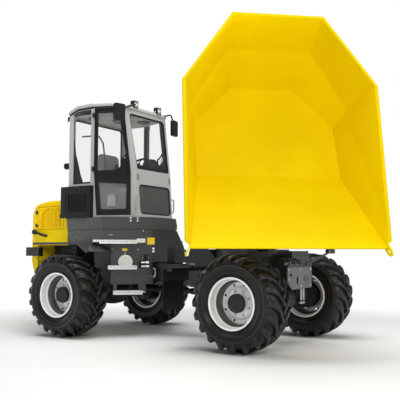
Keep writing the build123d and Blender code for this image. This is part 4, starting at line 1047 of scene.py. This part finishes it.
def bar_places(low, high):
    """Where the grille's bars stand between its two edges."""
    return [low + index * BAR_PITCH for index in range(1, int((high - low) / BAR_PITCH))]


def corner_cut(place, low, high, bend):
    """How far a round corner cuts back a bar at a place between low and high."""
    edge = min(place - low, high - place)
    if edge >= bend:
        return 0.0
    return bend - math.sqrt(bend ** 2 - (bend - edge) ** 2)


def build_hood_trim(side, sign):
    """Hinges, latch, intake grille, and the rear lamp with its stay."""
    wall = hood_wall(sign)
    hinges, shine = grids(2)
    for z in (1.539, 1.737):
        wall.plate(hinges, (-0.634, -0.577, z - 0.026, z + 0.026), 0.006, SKIN, 0.007)
        wall.bolts(shine, [(-0.62, z - 0.013), (-0.62, z + 0.013)], 0.007, 0.005, 0.007)
    latch = bmesh.new()
    wall.plate(latch, (-0.122, -0.086, 1.636, 1.692), 0.008, SKIN, 0.006)
    wall.plate(latch, (-0.114, -0.094, 1.646, 1.676), 0.005, 0.005, 0.013)
    box = side_wall(sign, (-1.86, 0.69), (-1.232, 0.69))
    u0, u1, z0, z1, bend = 0.192, 0.549, 1.693, 1.973, 0.045      # the grille and its corners
    grille = bmesh.new()
    box.border(grille, (u0, u1, z0, z1), 0.012, (bend, bend - 0.012), SKIN, 0.007)
    box.border(grille, (u0 - 0.045, u1 + 0.045, z0 - 0.045, z1 + 0.045), 0.008, (0.05, 0.042),
        SKIN, 0.004)
    for u in bar_places(u0, u1):
        cut = corner_cut(u, u0, u1, bend) + 0.004
        box.prism(grille, rect(u - BAR, u + BAR, z0 + cut, z1 - cut), SKIN, 0.0035)
    for z in bar_places(z0, z1):
        cut = corner_cut(z, z0, z1, bend) + 0.004
        box.prism(grille, rect(u0 + cut, u1 - cut, z - BAR, z + BAR), SKIN, 0.0035)
    lamp = Wall((-2.6, sign * 0.53, 0), (-2.6, sign * 0.53 - 1, 0))
    bezel = bmesh.new()
    plan = ((-2.594, 0.46), (-2.594, 0.6), (-2.32, 0.6), (-2.32, 0.5203), (-2.5503, 0.5203),
        (-2.5503, 0.46))
    add_slab(bezel, [(x, sign * y) for x, y in plan], 1.08, 1.21)
    lamp.border(bezel, (-0.07, 0.07, 1.08, 1.21), 0.008, (0.004, 0.008), -0.007, 0.0)
    red, clear = grids(2)
    halves = ((-0.056, -0.002), (0.002, 0.056))
    for lens_grid, span in zip((red, clear), halves if sign > 0 else halves[::-1]):
        lamp.plate(lens_grid, (*span, 1.095, 1.195), 0.006, -0.0062, -0.002)
    shell = side_wall(sign, (-2.6, 0.6), (-2.32, 0.6))
    shell.border(bezel, (0.012, 0.268, 1.09, 1.2), 0.008, (0.012, 0.01), -0.001, 0.003)
    shell.bolts(shine, [(0.035, 1.11), (0.245, 1.11), (0.035, 1.18), (0.245, 1.18)], 0.005, 0.004)
    bracket = bmesh.new()
    add_tube(bracket, [at(-2.36, sign * 0.53, 1.08), at(-2.36, sign * 0.535, 1.045),
        at(-2.385, sign * 0.515, 1.02)], 0.01, 0.02, 8)
    finish_pieces(REAR, [
        (f"hood_hinges_{side}", hinges, TRIM, 0.001),
        (f"hood_bolts_{side}", shine, FASTENER),
    ])
    finish_pieces(f"engine_door_{side}", [(f"hood_latch_{side}", latch, TRIM, 0.001)])
    finish_pieces(REAR, [
        (f"intake_grille_{side}", grille, TRIM),
        (f"rear_lamp_{side}", bezel, TRIM, 0.0015),
        (f"rear_lamp_red_{side}", red, RED),
        (f"rear_lamp_clear_{side}", clear, CLEAR),
        (f"rear_lamp_stay_{side}", bracket, "hood_yellow"),
    ])


def build_tail_trim():
    """Radiator grille and towing jaw at the back, and the exhaust outlet on the right."""
    ribs = bmesh.new()
    HOOD_BACK.border(ribs, (-0.36, 0.36, 1.49, 1.77), 0.015, (0.04, 0.028), SKIN, 0.01)
    for index in range(9):
        z = 1.52 + index * 0.0275
        HOOD_BACK.prism(ribs, rect(-0.35, 0.35, z - 0.006, z + 0.006), SKIN, 0.008)
    panel = bmesh.new()
    HOOD_BACK.plate(panel, (-0.35, 0.35, 1.5, 1.76), 0.03, SKIN, 0.0012)
    jaw, pipe = grids(2)
    end = at(-2.44, -0.568, 1.434)
    add_tube(pipe, [at(-2.24, -0.5, 1.376), at(-2.27, -0.56, 1.386), at(-2.35, -0.566, 1.408),
        end], 0.019, 0.03, 14)
    way = (end - at(-2.35, -0.566, 1.408)).normalized()
    add_lathe(pipe, end, way, [(0.019, -0.02), (0.034, -0.006), (0.038, 0.03), (0.038, 0.04),
        (0.033, 0.04), (0.031, 0.006), (0, 0.004)], 24)
    add_lathe(jaw, at(-2.545, 0, 0.98), UP, [(0, -0.055), (0.022, -0.055), (0.022, 0.06),
        (0.03, 0.062), (0.03, 0.076), (0, 0.078)], 20)
    for z in (0.945, 1.015):
        add_block(jaw, at(-2.52, 0, z), (0.07, 0.12, 0.016))
    finish_pieces(REAR, [
        ("tail_grille", ribs, TRIM),
        ("tail_grille_mesh", panel, SEAL),
        ("exhaust_outlet", pipe, "cast_dark"),
        ("towing_jaw", jaw, "cast_dark", 0.002),
    ])


# ------------------------------------------------------------ body flank and steps
TREADS = ((-0.125, 0.47, 1.302), (0.081, 0.47, 0.955), (0.155, 0.549, 0.618))    # from, to, top
TOOTH_PITCH = 0.016
HOLE_PITCH = 0.032


def build_flank(side, sign):
    """Blank plates, bolts, couplings and step teeth on one side of the body."""
    wall = flank_wall(sign)
    white = bmesh.new()
    add_lathe(white, wall.spot(0.318, 1.006), wall.out, [(0, SKIN), (0.098, SKIN), (0.098, 0.003),
        (0.096, 0.004), (0, 0.004)], 48)
    for z in (1.19, 1.15):
        wall.plate(white, (0.684, 0.716, z - 0.014, z + 0.012), 0.004, SKIN, 0.006)
    yellow = bmesh.new()
    wall.plate(yellow, (0.615, 0.717, 1.245, 1.34), 0.006, SKIN, 0.0015)
    wall.plate(yellow, (0.274, 0.341, 1.155, 1.192), 0.003, SKIN, 0.0015)
    shine = bmesh.new()
    wall.bolts(shine, [(0.093, 1.375), (0.126, 1.375), (0.56, 1.432), (0.136, 1.173),
        (0.487, 1.175), (0.083, 1.154), (0.311, 1.125)], 0.009, 0.006)
    wall.bolts(shine, [(0.385, 1.606), (0.385, 1.57), (0.48, 1.606), (0.48, 1.57)], 0.014, 0.009,
        0.001)
    wall.bolts(shine, [(u, z) for u in (0.555, 0.632) for z in (1.045, 1.068, 1.092)], 0.005,
        0.004, 0.006)
    hindmost = side_wall(sign, (-1.86, 0.52), (-0.95, 0.74))
    hindmost.bolts(shine, [(u, z) for u in (0.615, 0.68) for z in (1.53, 1.59)], 0.005, 0.003)
    for z in (0.997, 0.945):
        add_lathe(shine, wall.spot(0.535, z, 0.03), wall.along,
            [(0, 0), (0.012, 0), (0.012, 0.03), (0.009, 0.032), (0.009, 0.06), (0.014, 0.062),
            (0.014, 0.104), (0, 0.106)], 16)
    dark = bmesh.new()
    wall.plate(dark, (0.54, 0.648, 1.028, 1.108), 0.006, SKIN, 0.006)
    wall.plate(dark, (0.5, 0.56, 0.93, 1.012), 0.006, SKIN, 0.034)
    for z in (0.997, 0.945):
        add_tube(dark, [wall.spot(0.64, z, 0.03), wall.spot(0.68, z, 0.03),
            wall.spot(0.71, z - 0.004, 0.018), wall.spot(0.72, z - 0.006, -0.02)], 0.011, 0.03)
    ledge = bmesh.new()
    wall.plate(ledge, (0.432, 0.694, 0.705, 0.822), 0.008, SKIN, 0.026)
    spring = bmesh.new()
    route = rounded([wall.spot(0.7, 0.925, 0.0), wall.spot(0.722, 0.905, 0.03),
        wall.spot(0.726, 0.86, 0.04), wall.spot(0.722, 0.815, 0.03), wall.spot(0.7, 0.79, 0.0)],
        0.02)
    add_tube(spring, route, 0.011, None, 10)
    for low, high in zip(route, route[1:]):
        for t in (0.25, 0.75):
            add_lathe(spring, low.lerp(high, t), high - low, [(0.011, -0.003), (0.016, 0.0),
                (0.011, 0.003)], 12)
    teeth, deep = grids(2)
    for u0, u1, top in TREADS:
        for index in range(int((u1 - u0) / TOOTH_PITCH)):
            u = u0 + (index + 0.5) * TOOTH_PITCH
            tooth = [(u - 0.005, top - 0.001), (u + 0.005, top - 0.001), (u + 0.003, top + 0.005),
                (u - 0.003, top + 0.005)]
            for w in (0.14, 0.09, 0.045):
                wall.prism(teeth, tooth, w, w + 0.007)
        # Painted shade: dark discs stand for the holes in the treads.
        for index in range(int((u1 - u0) / HOLE_PITCH)):
            add_lathe(deep, wall.spot(u0 + (index + 0.5) * HOLE_PITCH, top - 0.017, 0.15),
                wall.out, [(0, HAIR), (0.0065, HAIR), (0.0065, 0.001), (0, 0.001)], 10)
    reflector = bmesh.new()
    wall.bolts(reflector, [(0.408, 0.745)], 0.012, 0.005)
    finish_pieces(REAR, [
        (f"blank_plates_{side}", white, (WHITE, "cab_grey")),
        (f"yellow_plates_{side}", yellow, (LABEL_YELLOW, "hood_yellow")),
        (f"flank_bolts_{side}", shine, FASTENER),
        (f"couplings_{side}", dark, TRIM, 0.001),
        (f"ledge_{side}", ledge, "body_grey", 0.004),
        (f"armoured_hose_{side}", spring, "steel"),
        (f"step_teeth_{side}", teeth, "step_metal"),
        (f"step_holes_{side}", deep, SEAL),
        (f"side_reflector_{side}", reflector, RED),
    ])


# ------------------------------------------------------------ front chassis
def build_front_trim():
    """Hose guards at the articulation, drive shaft, U-bolts, lamp arm and plate details."""
    dark = bmesh.new()
    for sign in (-1, 1):
        guard = side_wall(sign, (0.0, 0.2), (1.0, 0.2))
        guard.prism(dark, soft([(-0.112, 1.0), (0.205, 1.0), (0.205, 1.03), (0.15, 1.035),
            (-0.01, 1.182), (-0.112, 1.19)], 0.006, 3), -0.006, 0.006)
    add_block(dark, at(0.19, 0.0, 1.03), (0.02, 0.4, 0.08))
    hoses, shine = grids(2)
    for x in (0.255, 0.305):
        add_lathe(shine, at(x, -0.342, 0.985), Vector((-0.4, -1, 0)),
            [(0, -0.01), (0.013, -0.01), (0.013, 0.018), (0.009, 0.02), (0.009, 0.045),
            (0, 0.046)], 14)
    steel_rods = bmesh.new()
    for y in (0.33, 0.405):
        add_tube(steel_rods, [at(1.5, y, 0.48), at(1.5, y, 0.7)], 0.019, None, 16)
        add_lathe(steel_rods, at(1.5, y, 0.505), DOWN, [(0, 0), (0.029, 0), (0.029, 0.02),
            (0, 0.022)], 6)
    add_block(dark, at(1.48, 0.367, 0.52), (0.09, 0.15, 0.014))
    add_block(dark, at(1.48, 0.367, 0.705), (0.1, 0.15, 0.03))
    for y, z in ((-0.4, 1.0), (-0.33, 1.012), (-0.26, 0.998), (-0.18, 1.01), (-0.1, 1.0)):
        add_lathe(shine, at(1.64, y, z), AHEAD, [(0, 0), (0.014, 0), (0.014, 0.02), (0.01, 0.022),
            (0.01, 0.034), (0.013, 0.036), (0.013, 0.046), (0, 0.048)], 12)
        add_tube(hoses, [at(1.686, y, z), at(1.7, y, z), at(1.702, y - 0.02, z + 0.03),
            at(1.66, y - 0.04, z + 0.055), at(1.6, y - 0.05, z + 0.06)], 0.01, 0.02, 8)
    add_block(dark, at(1.6, -0.25, 1.005), (0.08, 0.36, 0.05))
    TOW_FACE.prism(dark, [(0.15, 0.975), (0.24, 0.985), (0.86, 1.118), (0.86, 1.148),
        (0.23, 1.02), (0.15, 1.01)], -0.012, -0.004)
    lamp = bmesh.new()
    TOW_FACE.plate(lamp, (0.85, 1.09, 1.125, 1.185), 0.01, -0.04, 0.002)
    TOW_FACE.bolts(shine, [(0.905, 1.155)], 0.012, 0.008, 0.002)
    TOW_FACE.bolts(shine, [(-0.37, 0.93), (-0.37, 0.82), (0.26, 0.93), (0.26, 0.73),
        (-0.05, 0.93), (-0.02, 0.73)], 0.012, 0.008)
    oval = bmesh.new()
    TOW_FACE.border(oval, (0.06, 0.17, 0.775, 0.85), 0.008, (0.036, 0.028), HAIR, 0.004)
    TOW_FACE.border(oval, (0.078, 0.152, 0.793, 0.832), 0.006, (0.019, 0.013), HAIR, 0.003)
    strip = bmesh.new()
    cross = Wall((1.655, 0, 0), (1.655, 1, 0))
    cross.prism(strip, rect(-0.24, 0.24, 1.071, 1.083), HAIR, 0.004)
    back = Wall((0.436, 0, 0), (0.436, -1, 0))
    for sign in (-1, 1):
        back.bolts(shine, [(-sign * y, 0.822) for y in (0.83, 0.92, 1.01, 1.1, 1.19)], 0.009,
            0.006)
    manifold = bmesh.new()
    add_block(manifold, at(-0.335, 0.0, 0.993), (0.16, 0.4, 0.027))
    shaft = bmesh.new()
    shaft_line = [(0, -0.02), (0.03, -0.02), (0.045, 0.01), (0.045, 0.06), (0.038, 0.075),
        (0.038, 0.7), (0.06, 0.72), (0.06, 0.78), (0, 0.78)]
    add_lathe(shaft, at(0.02, 0, 0.61), Vector((1, 0, -0.06)),
        [(0, -0.05)] + [(r, h * 1.5) for r, h in shaft_line], 20)
    rear_shaft = bmesh.new()
    add_lathe(rear_shaft, at(-0.02, 0, 0.61), Vector((-1, 0, 0.02)), shaft_line[1:], 20)
    finish_pieces(FRONT, [
        ("articulation_guards", dark, "chassis_black", 0.002),
        ("front_bolts", shine, FASTENER),
        ("front_hoses", hoses, (GASKET, "flap_rubber")),
        ("u_bolts", steel_rods, "steel"),
        ("front_marker", lamp, TRIM, 0.004),
        ("plate_emboss", oval, "body_grey"),
        ("cross_strip", strip, "body_grey"),
        ("drive_shaft_front", shaft, "cast_dark"),
    ])
    finish_pieces(REAR, [
        ("hose_manifold", manifold, "cast_dark", 0.003),
        ("drive_shaft_rear", rear_shaft, "cast_dark"),
    ])


REAR_PILLARS = -1.5      # behind this place the cab frame keeps its paint inside, with no painted shade


def shade_cab_inside():
    """Painted shade: the dark lining colour on the cab frame's inner faces, which lie in the cab's shade, apart
    from its rear pillars.
    """
    middle = at(-1.15, 0, 0)

    def inside(face):
        away = face.center - middle
        if face.center.x - PIVOT.x < REAR_PILLARS or abs(face.normal.z) > 0.7:
            return False
        return face.normal.x * away.x + face.normal.y * away.y < -0.05
    paint_faces("cab_frame", LINING_AND_SHADE_PLASTIC, inside)


SHADED_WELL_RADII = (0.196, 0.262)
DISC_RADIUS = 0.2


def dress_rims():
    """Painted shade: a dark grey in the well between the bead seat and the wheel disc, and a brighter disc."""
    for end in ("front", "rear"):
        for side, sign in SIDES:
            centre = Vector(JOINTS[f"wheel_{end}_{side}_spin"]["pos_m"])

            def in_shaded_well(face):
                away = face.center - centre
                radius = math.hypot(away.x, away.z)
                return SHADED_WELL_RADII[0] < radius < SHADED_WELL_RADII[1] and abs(face.normal.y) < 0.75

            def on_disc(face):
                away = face.center - centre
                return math.hypot(away.x, away.z) < DISC_RADIUS and face.normal.y * sign > 0.3
            paint_faces(f"rim_{end}_{side}", WELL_SHADE_AND_RAIL_GREY, in_shaded_well)
            paint_faces(f"rim_{end}_{side}", DISC_SILVER, on_disc)


SKIP_OPENING = Vector((0.6255, -0.7046, 0.3355))     # the way the tipped skip opens
RIM_DEPTH = 0.07


def shade_skip_rim():
    """Painted shade: the rolled rim gets a darker copy of the skip yellow than the panels inside it."""
    rim = [face for face in frame["nodes"]["skip_shell"].data.polygons
        if face.normal.dot(SKIP_OPENING) > 0.9]
    lip = max(rim, key=lambda face: face.center.dot(SKIP_OPENING))
    level = lip.normal.dot(lip.center)
    paint_faces("skip_shell", SHADED_RIM_YELLOW,
        lambda face: level - lip.normal.dot(face.center) < RIM_DEPTH)


HANGERS = (0.619, 0.9)      # heights of the painted stretch between the two lower treads
LOWER_PANES = 2.2           # below this height the doors' glass is tinted


def turns_back(face):
    """Whether a side facet turns back towards the tail."""
    return abs(face.normal.y) > 0.9 and face.normal.x < -0.15


shade_skip_rim()
# Painted shade on the deck's and tanks' side facets that turn back towards the tail.
for node in ("cab_deck", "side_tanks"):
    paint_faces(node, SHADED_BACK_GREY, turns_back)
paint_faces("access_steps", MATERIALS["body_grey"],
    lambda face: HANGERS[0] < face.center.z < HANGERS[1])
for side_name, side_sign in SIDES:
    paint_faces(f"door_glass_{side_name}", TINTED, lambda face: face.center.z < LOWER_PANES)
    build_door_trim(side_name, side_sign)
    build_hood_trim(side_name, side_sign)
    build_flank(side_name, side_sign)
for side_name, _ in SIDES:
    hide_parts("rear_lamps")
dress("nose_window", SMOKED)
# Painted light: the towing plate in a lighter copy of the body grey.
dress("towing_plate", LIT_PLATE_GREY)
dress("grab_handles", MATERIALS["cab_grey"])
dress_rims()
shade_cab_inside()
build_borders()
build_cab_outside()
build_cab_inside()
build_seat()
build_tail_trim()
build_front_trim()


# ------------------------------------------------------------ studio
FLOOR_REACH = 60.0
FLOOR_FADES = (3.2, 6.5)      # from the pale floor to plain white, out from the middle
CAMERA_LENS = 60.02           # mm, on a 36 mm wide sensor
CAMERA_PLACE = (5.1711, -7.6357, 1.139)
CAMERA_TURN = (94.484, -0.12, 33.263)      # degrees


def add_world(world):
    """White surround behind the object; what lights the object is softer."""
    tree = world.node_tree
    background = tree.nodes["Background"]
    background.inputs["Strength"].default_value = 1.0
    path = tree.nodes.new("ShaderNodeLightPath")
    ramp = tree.nodes.new("ShaderNodeValToRGB")
    ramp.color_ramp.elements[0].color = (0.16, 0.164, 0.168, 1.0)
    ramp.color_ramp.elements[1].color = (1.0, 1.0, 1.0, 1.0)
    tree.links.new(path.outputs["Is Camera Ray"], ramp.inputs["Fac"])
    tree.links.new(ramp.outputs["Color"], background.inputs["Color"])
    bpy.context.scene.world = world


def floor_material():
    """Pale matt floor round the object that turns to plain white further out."""
    s = Shader("floor_paint")
    tone = s.ramp(s.noise(0.4, 2.0), 0.86, 0.88)
    s.finish(tone, 0.95, None, Specular_IOR_Level=0.1)
    away = s.add("ShaderNodeVectorMath", operation="LENGTH")
    s.link(s.space, away.inputs[0])
    reach = s.add("ShaderNodeMapRange", interpolation_type="SMOOTHSTEP")
    reach.inputs["From Min"].default_value = FLOOR_FADES[0]
    reach.inputs["From Max"].default_value = FLOOR_FADES[1]
    s.link(away.outputs["Value"], reach.inputs["Value"])
    white = s.add("ShaderNodeEmission")
    white.inputs["Strength"].default_value = 1.0
    blend = s.add("ShaderNodeMixShader")
    s.link(reach.outputs["Result"], blend.inputs["Fac"])
    s.link(s.surface.outputs["BSDF"], blend.inputs[1])
    s.link(white.outputs["Emission"], blend.inputs[2])
    s.link(blend.outputs["Shader"], s.tree.nodes["Material Output"].inputs["Surface"])
    return s.material


def add_studio():
    """Pale floor, white surround, soft lights, and the camera."""
    floor = bmesh.new()
    corners = rect(-FLOOR_REACH, FLOOR_REACH, -FLOOR_REACH, FLOOR_REACH)
    floor.faces.new([floor.verts.new((x, y, 0.0)) for x, y in corners])
    mesh = bpy.data.meshes.new("floor")
    floor.to_mesh(mesh)
    floor.free()
    plate = bpy.data.objects.new("floor", mesh)
    bpy.context.scene.collection.objects.link(plate)
    plate.data.materials.append(floor_material())

    world = bpy.data.worlds.new("studio")
    world.use_nodes = True
    add_world(world)

    lights = (        # name, place, aimed at, width, height, power
        ("overhead", (0.0, -1.0, 9.0), (0.0, 0.0, 0.0), 9.0, 7.0, 780.0),
        ("key", (6.5, -6.0, 5.2), (0.8, 0.0, 1.6), 4.0, 3.0, 240.0),
        ("front", (7.5, 1.5, 3.2), (1.4, -0.8, 2.0), 3.0, 3.0, 120.0),
        ("low fill", (2.5, -8.5, 1.6), (0.2, -1.0, 0.7), 5.0, 2.0, 45.0),
        ("rear card", (-7.5, -2.7, 1.7), (-1.2, -0.6, 1.3), 3.2, 2.6, 70.0),
    )
    for name, place, target, width, height, power in lights:
        lamp = bpy.data.lights.new(name, "AREA")
        lamp.shape = "RECTANGLE"
        lamp.size = width
        lamp.size_y = height
        lamp.energy = power
        holder = bpy.data.objects.new(name, lamp)
        holder.location = at(*place)
        way = at(*target) - holder.location
        holder.rotation_euler = way.to_track_quat("-Z", "Y").to_euler()
        bpy.context.scene.collection.objects.link(holder)

    camera = bpy.data.cameras.new("camera")
    camera.sensor_width = 36.0
    camera.lens = CAMERA_LENS
    holder = bpy.data.objects.new("camera", camera)
    holder.location = at(*CAMERA_PLACE)
    holder.rotation_euler = [math.radians(degrees) for degrees in CAMERA_TURN]
    bpy.context.scene.collection.objects.link(holder)
    bpy.context.scene.camera = holder
    bpy.context.scene.view_settings.view_transform = "Standard"


add_studio()
